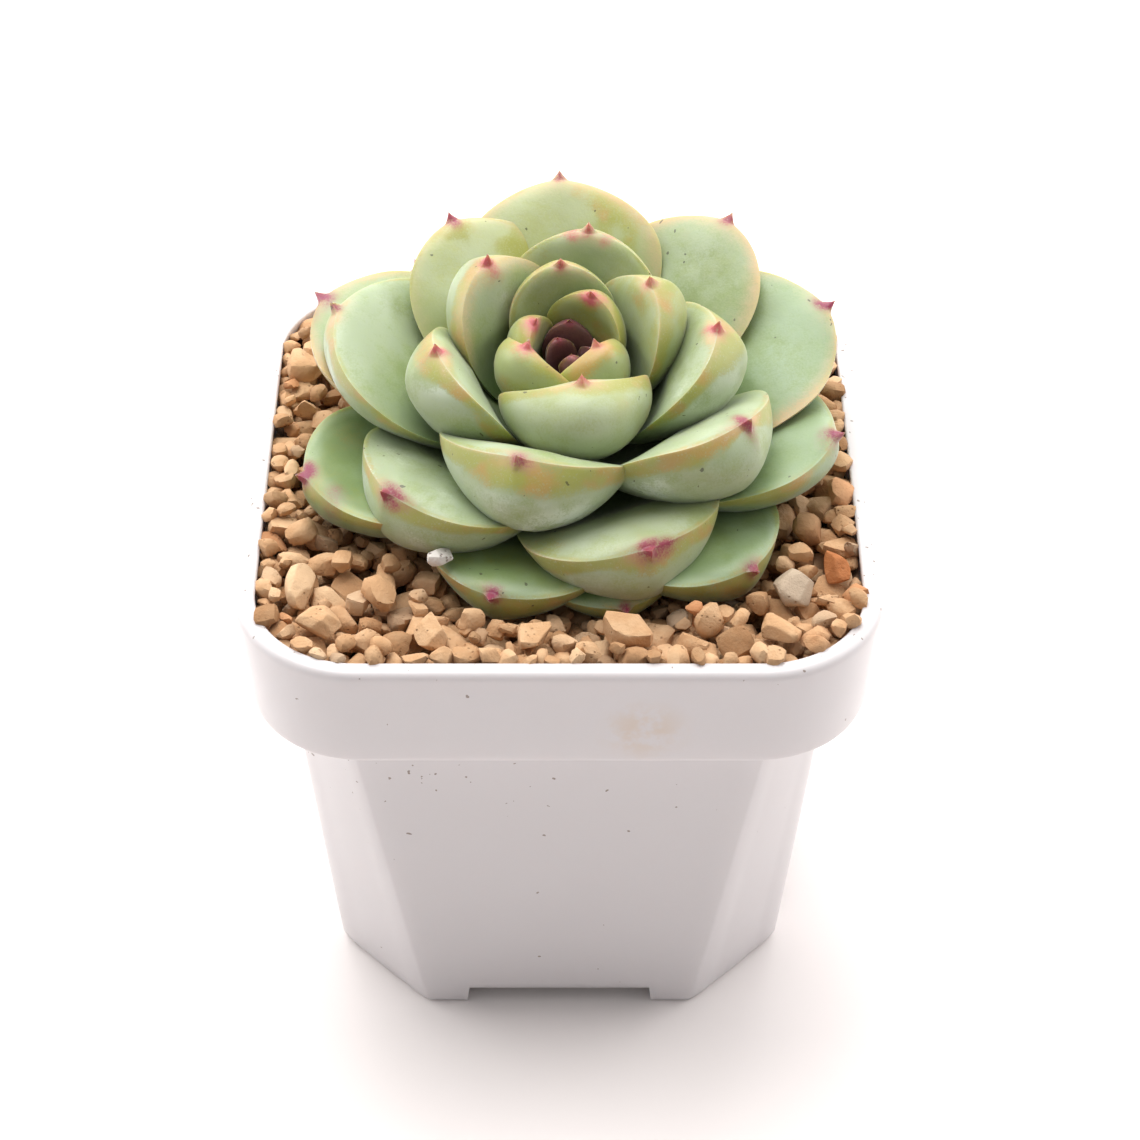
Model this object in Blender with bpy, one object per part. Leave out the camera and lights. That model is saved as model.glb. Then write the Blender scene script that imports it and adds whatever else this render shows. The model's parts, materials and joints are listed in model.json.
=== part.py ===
"""Rosette succulent in a small square plastic pot with a gravel top dressing.

The pot stands on the ground plane, centred on the vertical axis, with its
front towards -Y.  The rosette grows from a short stem a little off centre.
Every piece is one closed mesh and neighbouring pieces keep a small gap.
"""

from typing import NamedTuple

import bmesh
import bpy
import numpy as np
from mathutils.bvhtree import BVHTree

MM = 0.001
GAP = 0.3 * MM

# Pot: square rim band on a tapering body whose corners are cut flat.
RIM_HALF = 36.0 * MM
RIM_HEIGHT = 64.0 * MM
RIM_CORNER = 14.0 * MM
BAND_DEPTH = 14.2 * MM
BAND_TAPER = 1.0 * MM
BAND_STEP = 4.5 * MM
WALL = 1.8 * MM
BODY_DRAFT = 3.3 * MM
BODY_TOP_CUT = 7.0 * MM
BODY_BASE_CUT = 11.2 * MM
FOOT_HEIGHT = 2.6 * MM
NOTCH_WIDTH = 22.4 * MM
DRAIN_RADIUS = 6.0 * MM
CORNER_POINTS = 6

# Heights and half-widths that follow from the pot.
BAND_LOW = RIM_HEIGHT - BAND_DEPTH
BAND_HALF = RIM_HALF - BAND_TAPER
SHELF = BAND_LOW + WALL
SHELF_RISE = 1.2 * MM
FLOOR_TOP = FOOT_HEIGHT + WALL
BODY_TOP_HALF = BAND_HALF - BAND_STEP
BODY_BASE_HALF = BODY_TOP_HALF - BODY_DRAFT

# The plant fills the pot's mouth: its lengths are given for a mouth of this
# half-width and its heights are measured from the rim.
MOUTH_HALF = RIM_HALF - WALL
NOMINAL_MOUTH = 34.2
UNIT = MOUTH_HALF / NOMINAL_MOUTH

# Fill: potting mix up to just above the inner shelf, gravel dressing on it.
MIX_TOP = SHELF + 3.2 * MM
GRAVEL_EDGE_TOP = RIM_HEIGHT - 2.2 * UNIT
GRAVEL_MIDDLE_TOP = RIM_HEIGHT - 5.4 * UNIT
GRAVEL_BUMP = 0.7 * UNIT
GRAVEL_RINGS = 10

# Plant: the rosette's own axis and its short stem.
ROSETTE_X = 1.0 * UNIT
ROSETTE_Y = 1.5 * UNIT
STEM_RADIUS = 3.5 * MM
NOMINAL_STEM = 3.5
STEM_UNIT = STEM_RADIUS / NOMINAL_STEM
CROWN_DEPTH = 5.0 * MM
SOCKET_CLEAR = 1.0 * MM
WELL_CLEAR = 1.7 * MM
STEM_SIDES = 10
LEAF_STATIONS = 8
LEAF_AROUND = 10
LEAF_POINT = 0.0375
SLIVER = 0.03 * MM
FLAT_ANGLE = 0.05
TRIM_TRIES = 8


class Leaf(NamedTuple):
    """Shape of one leaf; lengths in plant units, angles in degrees.

    azimuth is 0 at the front and grows towards +X.  out and low place the
    root: how far it sits outside the stem's full radius, and its height
    from the rim.  reach and height place the tip.  bend is the midline's
    upward curl, hollow the radius the blade is rolled on across its width,
    and roll a turn about its own midline.
    """

    name: str
    azimuth: float
    out: float
    low: float
    reach: float
    height: float
    width: float
    thick: float
    bend: float
    hollow: float
    roll: float = 0.0


# Innermost leaves first: each later leaf is trimmed clear of the earlier ones.
LEAVES = (
    Leaf("leaf_e6", 20, -2.6, 10.5, 1, 15.5, 3, 1.2, 10, 3),
    Leaf("leaf_e5", -150, -2.3, 10, 2.3, 15.5, 4.2, 1.4, 25, 3),
    Leaf("leaf_e4", 105, -2.1, 9.5, 2.8, 15, 4.6, 1.6, 30, 4),
    Leaf("leaf_e3", -40, -1.7, 9, 3.4, 15, 5.4, 1.8, 35, 4),
    Leaf("leaf_e2", 178, -1.5, 8.5, 4, 16.5, 6.5, 2, 35, 5),
    Leaf("leaf_e1", 55, -1.3, 8, 4.2, 15.5, 6.5, 2.2, 40, 5),
    Leaf("leaf_d4", -105, -0.5, 7.5, 3.9, 18.6, 10, 2.8, 55, 6),
    Leaf("leaf_d3", 146, -0.5, 7.5, 4.6, 20.2, 12, 3, 50, 7),
    Leaf("leaf_d2", 46, -0.5, 7, 4.4, 18.4, 12, 3.2, 55, 7),
    Leaf("leaf_d1", -48, -0.5, 7, 6.0, 19.0, 13, 3.4, 55, 8),
    Leaf("leaf_c7", -174, 0, 6.5, 8, 21.5, 14, 3.6, 50, 8),
    Leaf("leaf_c6", 9, 0.5, 5.5, 9.5, 18.1, 20, 6.4, 56, 11, 3),
    Leaf("leaf_c5", 115, 0.5, 6, 10.2, 21.6, 15, 5.2, 50, 11),
    Leaf("leaf_c4", 170, 0.5, 5.5, 13.5, 22.5, 20, 4.6, 45, 13),
    Leaf("leaf_c3", -130, 0.5, 5, 11.8, 22.1, 17, 5.8, 50, 13),
    Leaf("leaf_c2", 87, 0.5, 5, 16.6, 19.1, 20, 6.6, 52, 18),
    Leaf("leaf_c1", -72, 0.5, 5, 15.3, 18.9, 19, 6.4, 52, 18),
    Leaf("leaf_b8", -17, 0.5, 4, 19.2, 14.3, 23, 7.6, 48, 24),
    Leaf("leaf_b1", -178, 0.5, 3, 27, 20.5, 24, 6.0, 25, 26),
    Leaf("leaf_b3", -146, 0.5, 2.5, 24.4, 19.2, 21, 6.0, 25, 24),
    Leaf("leaf_b2", 139, 0.5, 2.5, 29, 18, 21, 6.2, 25, 24, 4),
    Leaf("leaf_b7", 57, 0.5, 2.5, 23.4, 14.9, 23, 7.4, 36, 26, -10),
    Leaf("leaf_b4", -105, 0.5, 2, 27.6, 15.9, 25, 6.8, 32, 26),
    Leaf("leaf_b5", -51, 0.5, 1.5, 25.9, 8.0, 24, 7.6, 38, 28),
    Leaf("leaf_b6", 20, 0.5, 1, 25.8, 6.3, 24, 7.6, 40, 30, 4),
    Leaf("leaf_a7", 110, 0.5, 1.5, 32.2, 13.5, 24, 6.0, 15, 28, 12),
    Leaf("leaf_a6", -116, 0.5, 0.5, 32.2, 12.4, 25, 5.8, 15, 30),
    Leaf("leaf_a4", 79, 0.5, 0, 31, 7.8, 23, 6.2, 22, 30),
    Leaf("leaf_a8", -147, 0.5, 0, 33.5, 7, 20, 5.6, 20, 30),
    Leaf("leaf_a9", 150, 0.5, 0, 31, 6, 20, 5, 20, 30),
    Leaf("leaf_a2", -73, 0.5, -0.5, 31.3, 4.4, 24, 6.2, 24, 30),
    Leaf("leaf_a3", 43, 0.5, -1, 30, 1.5, 22, 6.0, 22, 30),
    Leaf("leaf_a1", -18, 0.5, -0.4, 27.3, 1.2, 22, 5.6, 28, 32),
    Leaf("leaf_a10", 178, 0.5, -1, 30, 3, 20, 5, 20, 30),
    Leaf("leaf_a5", 14, 0.5, -2, 26, -1.2, 20, 4.4, 10, 30),
)


class Stone(NamedTuple):
    """One loose stone: place, half-lengths (plant units) and turn (degrees)."""

    name: str
    x: float
    y: float
    half_x: float
    half_y: float
    half_z: float
    turn: float
    material: str


STONES = (
    Stone("stone_01", -28.5, -21.6, 1.9, 3.3, 1.6, -12, "stone_cream"),
    Stone("stone_02", 26.0, -22.0, 2.6, 2.8, 1.6, 20, "stone_grey"),
    Stone("stone_03", 31.2, -17.6, 1.4, 2.2, 1.4, 10, "stone_red"),
    Stone("stone_04", -26.2, -28.0, 2.7, 2.1, 1.6, 10, "stone_tan"),
    Stone("stone_05", 7.5, -28.6, 3.0, 1.8, 1.4, 5, "stone_tan"),
    Stone("stone_06", 24.4, -28.6, 2.1, 2.4, 1.5, -30, "stone_tan"),
    Stone("stone_07", -14.0, -29.0, 1.5, 2.6, 1.4, 30, "stone_tan"),
    Stone("stone_08", -2.5, -29.3, 1.5, 2.7, 1.3, 35, "stone_tan"),
    Stone("stone_09", -30.6, 18.0, 2.4, 2.2, 1.7, 20, "stone_tan"),
    Stone("stone_10", 28.5, 28.0, 2.6, 3.0, 1.7, -30, "stone_tan"),
)

CRUMB = Stone("crumb_pale", -13.2, -19.9, 1.5, 1.2, 1.0, 25, "crumb_white")
CRUMB_HOST = "leaf_a1"

PALETTE = {
    "pot_white": ((0.86, 0.85, 0.84, 1.0), 0.28),
    "potting_mix": ((0.075, 0.05, 0.035, 1.0), 0.95),
    "gravel_tan": ((0.56, 0.37, 0.20, 1.0), 0.9),
    "stone_tan": ((0.61, 0.40, 0.22, 1.0), 0.88),
    "stone_cream": ((0.72, 0.62, 0.48, 1.0), 0.85),
    "stone_grey": ((0.46, 0.37, 0.27, 1.0), 0.88),
    "stone_red": ((0.42, 0.22, 0.15, 1.0), 0.88),
    "crumb_white": ((0.76, 0.72, 0.68, 1.0), 0.9),
    "stem_tan": ((0.30, 0.22, 0.12, 1.0), 0.8),
    "leaf_outer": ((0.36, 0.45, 0.24, 1.0), 0.5),
    "leaf_middle": ((0.42, 0.54, 0.34, 1.0), 0.5),
    "leaf_inner": ((0.44, 0.55, 0.30, 1.0), 0.5),
    "leaf_young": ((0.36, 0.42, 0.20, 1.0), 0.5),
    "leaf_heart": ((0.16, 0.05, 0.06, 1.0), 0.5),
}
LEAF_MATERIALS = {"a": "leaf_outer", "b": "leaf_middle", "c": "leaf_inner", "d": "leaf_young", "e": "leaf_heart"}


def make_material(name):
    """Principled material of the palette, made once."""
    found = bpy.data.materials.get(name)
    if found:
        return found
    colour, roughness = PALETTE[name]
    material = bpy.data.materials.new(name)
    material.use_nodes = True
    shader = material.node_tree.nodes["Principled BSDF"]
    shader.inputs["Base Color"].default_value = colour
    shader.inputs["Roughness"].default_value = roughness
    material.diffuse_color = colour
    return material


def add_object(name, bm, material, smooth=True):
    """Turn a closed bmesh into a named, outward-facing object."""
    bmesh.ops.recalc_face_normals(bm, faces=bm.faces)
    mesh = bpy.data.meshes.new(name)
    bm.to_mesh(mesh)
    bm.free()
    mesh.polygons.foreach_set("use_smooth", [smooth] * len(mesh.polygons))
    mesh.materials.append(make_material(material))
    obj = bpy.data.objects.new(name, mesh)
    bpy.context.scene.collection.objects.link(obj)
    return obj


def skin(bm, rings, close=False):
    """Join rings of equal length by quads; close joins the last to the first."""
    count = len(rings)
    for k in range(count if close else count - 1):
        low, high = rings[k], rings[(k + 1) % count]
        for i in range(len(low)):
            j = (i + 1) % len(low)
            bm.faces.new((low[i], low[j], high[j], high[i]))


def add_ring(bm, points):
    """Vertices for an array of points."""
    return [bm.verts.new(tuple(point)) for point in points]


def cap(bm, ring, point):
    """Close a ring with a fan to one point."""
    tip = bm.verts.new(tuple(point))
    for i in range(len(ring)):
        bm.faces.new((ring[i], ring[(i + 1) % len(ring)], tip))


def square_ring(half, cut, z, rounding=1.0):
    """Square outline with each corner cut: an arc at rounding 1, a flat at 0."""
    turn = np.linspace(0.0, 1.0, CORNER_POINTS)
    arc = np.stack([np.cos(turn * np.pi / 2), np.sin(turn * np.pi / 2)], -1)
    flat = np.stack([1.0 - turn, turn], -1)
    corner = (half - cut) + cut * (rounding * arc + (1.0 - rounding) * flat)
    points = []
    for quarter in range(4):
        angle = quarter * np.pi / 2
        x = corner[:, 0] * np.cos(angle) - corner[:, 1] * np.sin(angle)
        y = corner[:, 0] * np.sin(angle) + corner[:, 1] * np.cos(angle)
        points.append(np.stack([x, y, np.full_like(x, z)], -1))
    return np.concatenate(points)


def round_ring(radius, z):
    """Circle whose points line up with those of square_ring."""
    square = square_ring(1.0, 0.45, 0.0)
    angle = np.arctan2(square[:, 1], square[:, 0])
    return np.stack([radius * np.cos(angle), radius * np.sin(angle), np.full_like(angle, z)], -1)


def evaluated_cut(obj, cutters):
    """Subtract closed cutters from an object and keep the exact result."""
    for cutter in cutters:
        modifier = obj.modifiers.new("cut", "BOOLEAN")
        modifier.operation = "DIFFERENCE"
        modifier.solver = "EXACT"
        modifier.object = cutter
    graph = bpy.context.evaluated_depsgraph_get()
    mesh = bpy.data.meshes.new_from_object(obj.evaluated_get(graph))
    obj.modifiers.clear()
    obj.data = mesh
    return obj


def body_half(z):
    """Half-width of the pot's body at a height."""
    return BODY_BASE_HALF + BODY_DRAFT * z / BAND_LOW


def body_cut(z):
    """Corner cut of the pot's body at a height."""
    return BODY_BASE_CUT + (BODY_TOP_CUT - BODY_BASE_CUT) * z / BAND_LOW


def body_ring(inset, z, rounding=0.2):
    """Outline of the body at a height, set in by a thickness."""
    return square_ring(body_half(z) - inset, body_cut(z) - 0.5 * inset, z, rounding)


def rim_ring(half, z):
    """Outline of the rim band at a half-width, its round corners kept concentric."""
    return square_ring(half, RIM_CORNER - (RIM_HALF - half), z)


def build_pot():
    """Hollow pot: banded rim, cut-corner body, recessed base and drain hole."""
    lip = 0.8 * MM
    inner = [
        round_ring(DRAIN_RADIUS, FLOOR_TOP),
        body_ring(WALL + 1.4 * MM, FLOOR_TOP),
        body_ring(WALL, FLOOR_TOP + 2.5 * MM),
        body_ring(WALL, SHELF, 0.35),
        rim_ring(BAND_HALF - WALL, SHELF + SHELF_RISE),
        rim_ring(MOUTH_HALF, RIM_HEIGHT - lip),
        rim_ring(RIM_HALF - 0.65 * WALL, RIM_HEIGHT),
    ]
    outer = [
        rim_ring(RIM_HALF - 0.35 * WALL, RIM_HEIGHT),
        rim_ring(RIM_HALF, RIM_HEIGHT - lip),
        rim_ring(BAND_HALF, BAND_LOW + lip),
        rim_ring(BAND_HALF - 0.7 * MM, BAND_LOW),
        body_ring(-0.5 * MM, BAND_LOW, 0.35),
        body_ring(0.0, BAND_LOW - lip, 0.3),
        body_ring(0.0, lip, 0.12),
        body_ring(0.7 * MM, 0.0, 0.12),
        body_ring(WALL, 0.0, 0.12),
        body_ring(WALL, FOOT_HEIGHT, 0.12),
        round_ring(DRAIN_RADIUS, FOOT_HEIGHT),
    ]
    bm = bmesh.new()
    skin(bm, [add_ring(bm, points) for points in inner + outer], close=True)
    pot = add_object("pot", bm, "pot_white")
    cutters = []
    for size in ((NOTCH_WIDTH, 3 * RIM_HALF), (3 * RIM_HALF, NOTCH_WIDTH)):
        bm = bmesh.new()
        bmesh.ops.create_cube(bm, size=1.0)
        bmesh.ops.scale(bm, verts=bm.verts, vec=(size[0], size[1], 2 * FOOT_HEIGHT - 0.2 * MM))
        cutters.append(add_object("notch", bm, "pot_white", smooth=False))
    evaluated_cut(pot, cutters)
    for cutter in cutters:
        bpy.data.objects.remove(cutter)


def build_mix():
    """Potting mix, filling the body up to the gravel, with a root socket."""
    wide = BAND_HALF - WALL - 2 * GAP
    rings = [
        body_ring(WALL + 2.2 * MM, FLOOR_TOP + GAP),
        body_ring(WALL + 2 * GAP, FLOOR_TOP + 3.2 * MM),
        body_ring(WALL + 2 * GAP, SHELF, 0.35),
        body_ring(WALL + 2 * GAP, SHELF + SHELF_RISE + GAP, 0.35),
        rim_ring(wide, SHELF + SHELF_RISE + 3 * GAP),
        rim_ring(wide, MIX_TOP),
    ]
    crown = STEM_RADIUS + SOCKET_CLEAR
    axis = np.array([ROSETTE_X, ROSETTE_Y, 0.0])
    rings.append(round_ring(crown + 1.0 * MM, MIX_TOP) + axis)
    rings.append(round_ring(crown, MIX_TOP - 1.5 * MM) + axis)
    rings.append(round_ring(crown - 1.2 * MM, MIX_TOP - CROWN_DEPTH - GAP) + axis)
    bm = bmesh.new()
    loops = [add_ring(bm, points) for points in rings]
    skin(bm, loops)
    cap(bm, loops[0], (0.0, 0.0, FLOOR_TOP + GAP))
    cap(bm, loops[-1], (ROSETTE_X, ROSETTE_Y, MIX_TOP - CROWN_DEPTH - 3 * GAP))
    add_object("potting_mix", bm, "potting_mix")


def bumps(x, y):
    """Rounded cobble-like relief, 0 to 1, from three crossed waves."""
    a = np.sin(1.5 * x + 2.0 * np.sin(0.62 * y))
    b = np.sin(1.65 * y + 1.7 * np.sin(0.54 * x) + 1.0)
    c = np.sin(1.18 * (x + y) + 0.5)
    return np.clip(0.5 + 0.28 * a + 0.25 * b + 0.17 * c, 0.0, 1.0)


def gravel_top(x, y):
    """Height of the dressing: low and level under the leaves, higher at the wall."""
    reach = np.hypot(x - ROSETTE_X, y - ROSETTE_Y)
    share = np.clip((reach - 24 * UNIT) / (9 * UNIT), 0.0, 1.0)
    share = share * share * (3 - 2 * share)
    level = GRAVEL_MIDDLE_TOP + (GRAVEL_EDGE_TOP - GRAVEL_MIDDLE_TOP) * share
    return level + GRAVEL_BUMP * (2 * bumps(x / UNIT, y / UNIT) - 1) * (0.35 + 0.65 * share)


def build_gravel():
    """Gravel dressing as one bumpy slab with a well round the stem."""
    edge = rim_ring(BAND_HALF - WALL - 2 * GAP, 0.0)
    middle = (edge + np.roll(edge, -1, 0)) / 2
    dense = np.stack([edge, middle], 1).reshape(-1, 3)
    angle = np.arctan2(dense[:, 1], dense[:, 0])
    radius = STEM_RADIUS + WELL_CLEAR
    x = ROSETTE_X + radius * np.cos(angle)
    y = ROSETTE_Y + radius * np.sin(angle)
    well = np.stack([x, y, np.zeros_like(x)], -1)
    base = np.array([0.0, 0.0, MIX_TOP + GAP])
    bm = bmesh.new()
    loops = [add_ring(bm, well + base), add_ring(bm, dense + base)]
    for share in np.linspace(0.0, 1.0, GRAVEL_RINGS) ** 1.3:
        points = dense + (well - dense) * share
        points[:, 2] = gravel_top(points[:, 0], points[:, 1])
        loops.append(add_ring(bm, points))
    skin(bm, loops, close=True)
    add_object("gravel_bed", bm, "gravel_tan")


def build_stem():
    """Short tapering stem from the root crown up into the rosette's heart."""
    crown = MIX_TOP - CROWN_DEPTH
    profile = [
        (0.75, crown),
        (1.0, crown + 0.6 * CROWN_DEPTH),
        (1.0, RIM_HEIGHT - 2.0 * UNIT),
        (0.97, RIM_HEIGHT + 2.0 * UNIT),
        (0.7, RIM_HEIGHT + 6.0 * UNIT),
        (0.48, RIM_HEIGHT + 8.5 * UNIT),
        (0.22, RIM_HEIGHT + 10.5 * UNIT),
    ]
    angle = np.linspace(0.0, 2 * np.pi, STEM_SIDES, endpoint=False)
    bm = bmesh.new()
    loops = []
    for share, z in profile:
        x = ROSETTE_X + share * STEM_RADIUS * np.cos(angle)
        y = ROSETTE_Y + share * STEM_RADIUS * np.sin(angle)
        loops.append(add_ring(bm, np.stack([x, y, np.full_like(x, z)], -1)))
    skin(bm, loops)
    cap(bm, loops[0], (ROSETTE_X, ROSETTE_Y, crown - GAP / 2))
    cap(bm, loops[-1], (ROSETTE_X, ROSETTE_Y, profile[-1][1] + GAP))
    add_object("stem", bm, "stem_tan")


def leaf_outline(s):
    """Half-width along the leaf: narrow root, widest past the middle, round end."""
    peak = 0.6
    rise = 0.36 + 0.64 * np.sin(np.pi / 2 * np.clip(s / peak, 0.0, 1.0))
    fall = np.clip(1 - np.clip((s - peak) / (1 - peak), 0.0, 1.0) ** 2.5, 0.0, 1.0) ** 0.66
    return np.where(s < peak, rise, fall)


def leaf_fatness(s):
    """Thickness along the leaf: thin at the root, full in the blade, blunt end."""
    rise = np.minimum(1.0, 0.34 + 1.1 * s)
    return rise * np.clip(1 - np.clip((s - 0.5) / 0.5, 0.0, 1.0) ** 4.6, 0.0, 1.0) ** 0.5


def leaf_points(leaf, grow=0.0):
    """Rings of a leaf from root to tip as an array, and the tip's point.

    The midline is an arc rising from root to tip.  The section is a lens:
    nearly flat on the upper face, full below, rolled up across its width.
    """
    s = 1 - (1 - np.linspace(0.0, 1.0, LEAF_STATIONS + 1)) ** 1.7
    s[-1] = 0.985
    root = STEM_RADIUS + leaf.out * (UNIT if leaf.out > 0 else STEM_UNIT)
    run, lift = leaf.reach * UNIT - root, (leaf.height - leaf.low) * UNIT
    slope, half = np.arctan2(lift, run), np.radians(leaf.bend) / 2
    radius = np.hypot(run, lift) / (2 * np.sin(half))
    tilt = slope - half + 2 * half * s
    r = root + radius * (np.sin(tilt) - np.sin(slope - half))
    z = RIM_HEIGHT + leaf.low * UNIT - radius * (np.cos(tilt) - np.cos(slope - half))
    around = np.linspace(0.0, 2 * np.pi, LEAF_AROUND, endpoint=False)
    across = (leaf.width * UNIT / 2 * leaf_outline(s) + grow)[:, None] * np.cos(around)
    side = np.sin(around)
    rise = np.clip((s - 0.3) / 0.35, 0.0, 1.0)[:, None]
    crown = 0.12 + 0.22 * rise * rise * (3 - 2 * rise)
    depth = np.where(side > 0, crown * side ** 2, -0.78 * np.abs(side) ** 1.9)
    depth = depth * (leaf.thick * UNIT * leaf_fatness(s))[:, None] + grow * side
    hollow = leaf.hollow * UNIT
    bow = across / hollow
    lx = hollow * np.sin(bow) - depth * np.sin(bow)
    lz = hollow * (1 - np.cos(bow)) + depth * np.cos(bow)
    roll = np.radians(leaf.roll)
    lx, lz = lx * np.cos(roll) - lz * np.sin(roll), lx * np.sin(roll) + lz * np.cos(roll)
    out = r[:, None] - lz * np.sin(tilt)[:, None]
    up = z[:, None] + lz * np.cos(tilt)[:, None]
    azimuth = np.radians(leaf.azimuth)
    x = ROSETTE_X + out * np.sin(azimuth) + lx * np.cos(azimuth)
    y = ROSETTE_Y - out * np.cos(azimuth) + lx * np.sin(azimuth)
    rings = np.stack([x, y, up], -1)
    setback = rings[0].mean(0) - rings[1].mean(0)
    rings[0] += setback / np.linalg.norm(setback) * grow
    heading = rings[-1].mean(0) - rings[-2].mean(0)
    heading = heading / np.linalg.norm(heading)
    return rings, rings[-1].mean(0) + heading * (LEAF_POINT * leaf.width * UNIT + grow)


def leaf_object(leaf, grow=0.0):
    """One leaf as a closed object; grow swells it evenly."""
    rings, tip = leaf_points(leaf, grow)
    bm = bmesh.new()
    loops = [add_ring(bm, ring) for ring in rings]
    skin(bm, loops)
    cap(bm, loops[0], rings[0].mean(0))
    cap(bm, loops[-1], tip)
    return add_object(leaf.name, bm, LEAF_MATERIALS[leaf.name[5]])


def tree_of(obj):
    """Search tree of an object's mesh."""
    corners = [vertex.co for vertex in obj.data.vertices]
    return BVHTree.FromPolygons(corners, [polygon.vertices for polygon in obj.data.polygons])


def islands_of(bm):
    """Connected groups of vertices, smallest first."""
    left = set(bm.verts)
    islands = []
    while left:
        stack = [left.pop()]
        island = set(stack)
        while stack:
            for edge in stack.pop().link_edges:
                for vertex in edge.verts:
                    if vertex in left:
                        left.discard(vertex)
                        island.add(vertex)
                        stack.append(vertex)
        islands.append(island)
    return sorted(islands, key=lambda island: max(vertex.co.length for vertex in island) * len(island))


def settle(obj):
    """Keep a cut leaf's blade, weld slivers and report its volume, or 0 if it is not closed."""
    bm = bmesh.new()
    bm.from_mesh(obj.data)
    for island in islands_of(bm)[:-1]:
        bmesh.ops.delete(bm, geom=list(island), context="VERTS")
    bmesh.ops.dissolve_degenerate(bm, edges=bm.edges, dist=SLIVER)
    bmesh.ops.dissolve_limit(bm, angle_limit=FLAT_ANGLE, verts=bm.verts, edges=bm.edges)
    bmesh.ops.triangulate(bm, faces=bm.faces)
    bmesh.ops.dissolve_degenerate(bm, edges=bm.edges, dist=SLIVER / 2)
    bmesh.ops.triangulate(bm, faces=bm.faces)
    bmesh.ops.recalc_face_normals(bm, faces=bm.faces)
    closed = len(islands_of(bm)) == 1 and all(edge.is_manifold for edge in bm.edges)
    volume = abs(bm.calc_volume()) if closed else 0.0
    bm.to_mesh(obj.data)
    bm.free()
    obj.data.polygons.foreach_set("use_smooth", [True] * len(obj.data.polygons))
    return volume


def trimmed_leaf(leaf, near):
    """A leaf cut clear of the nearby inner leaves.

    Each retry takes a little more room, and every other one cuts with one
    neighbour at a time.
    """
    for attempt in range(TRIM_TRIES):
        obj = leaf_object(leaf)
        if not near:
            return obj
        cutters = [leaf_object(other, GAP * (1 + 0.07 * attempt)) for other in near]
        for batch in [cutters] if attempt % 2 == 0 else [[cutter] for cutter in cutters]:
            evaluated_cut(obj, batch)
            settle(obj)
        for cutter in cutters:
            bpy.data.objects.remove(cutter)
        if settle(obj) > 0.08 * leaf.width * leaf.thick * leaf.reach * UNIT ** 3:
            return obj
        bpy.data.objects.remove(obj)
    raise ValueError(leaf.name + " cannot be cut clear of its neighbours")


def build_leaves():
    """All leaves, innermost first, each trimmed clear of those inside it."""
    whole = []
    for leaf in LEAVES:
        probe = leaf_object(leaf, 1.05 * GAP)
        tree = tree_of(probe)
        bpy.data.objects.remove(probe)
        trimmed_leaf(leaf, [other for other, shape in whole if tree.overlap(shape)])
        whole.append((leaf, tree))


def host_top(name):
    """Height function giving the top of one leaf over a place, or 0 beside it."""
    tree = tree_of(bpy.data.objects[name])

    def height(x, y):
        hit = tree.ray_cast((x, y, 2 * RIM_HEIGHT), (0.0, 0.0, -1.0))[0]
        return hit.z if hit else 0.0

    return height


def build_stone(stone, ground=gravel_top):
    """Loose angular stone resting just above what is under it."""
    bm = bmesh.new()
    bmesh.ops.create_icosphere(bm, subdivisions=2, radius=1.0)
    for vertex in bm.verts:
        x, y, z = vertex.co
        shape = 1.0 + 0.10 * np.sin(3.1 * x + stone.x) + 0.08 * np.sin(4.3 * y + 2 * z + stone.y)
        vertex.co = vertex.co * float(shape)
    bmesh.ops.scale(bm, verts=bm.verts, vec=(stone.half_x * UNIT, stone.half_y * UNIT, stone.half_z * UNIT))
    turn = np.radians(stone.turn)
    lift = 0.0
    for vertex in bm.verts:
        x, y, z = vertex.co
        vertex.co.x = x * np.cos(turn) - y * np.sin(turn) + stone.x * UNIT
        vertex.co.y = x * np.sin(turn) + y * np.cos(turn) + stone.y * UNIT
        lift = max(lift, float(ground(vertex.co.x, vertex.co.y)) - z)
    bmesh.ops.translate(bm, verts=bm.verts, vec=(0.0, 0.0, lift + 2 * GAP))
    add_object(stone.name, bm, stone.material, smooth=False)


def main():
    """Clear the startup scene and build every piece."""
    for obj in list(bpy.data.objects):
        bpy.data.objects.remove(obj, do_unlink=True)
    build_pot()
    build_mix()
    build_gravel()
    build_stem()
    build_leaves()
    for stone in STONES:
        build_stone(stone)
    build_stone(CRUMB, host_top(CRUMB_HOST))


main()
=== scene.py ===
"""Looks of a rosette succulent in a small square white pot with gravel.

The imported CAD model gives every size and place.  Each sub-assembly is a class
that works its surfaces out as numpy grids, dresses them in node materials and
puts them in place of its plain CAD nodes.
"""

from __future__ import annotations

import json
import logging
import math
from dataclasses import dataclass, field
from enum import Enum
from typing import NamedTuple

import bpy
import numpy as np
from mathutils import Matrix, Vector

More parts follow.
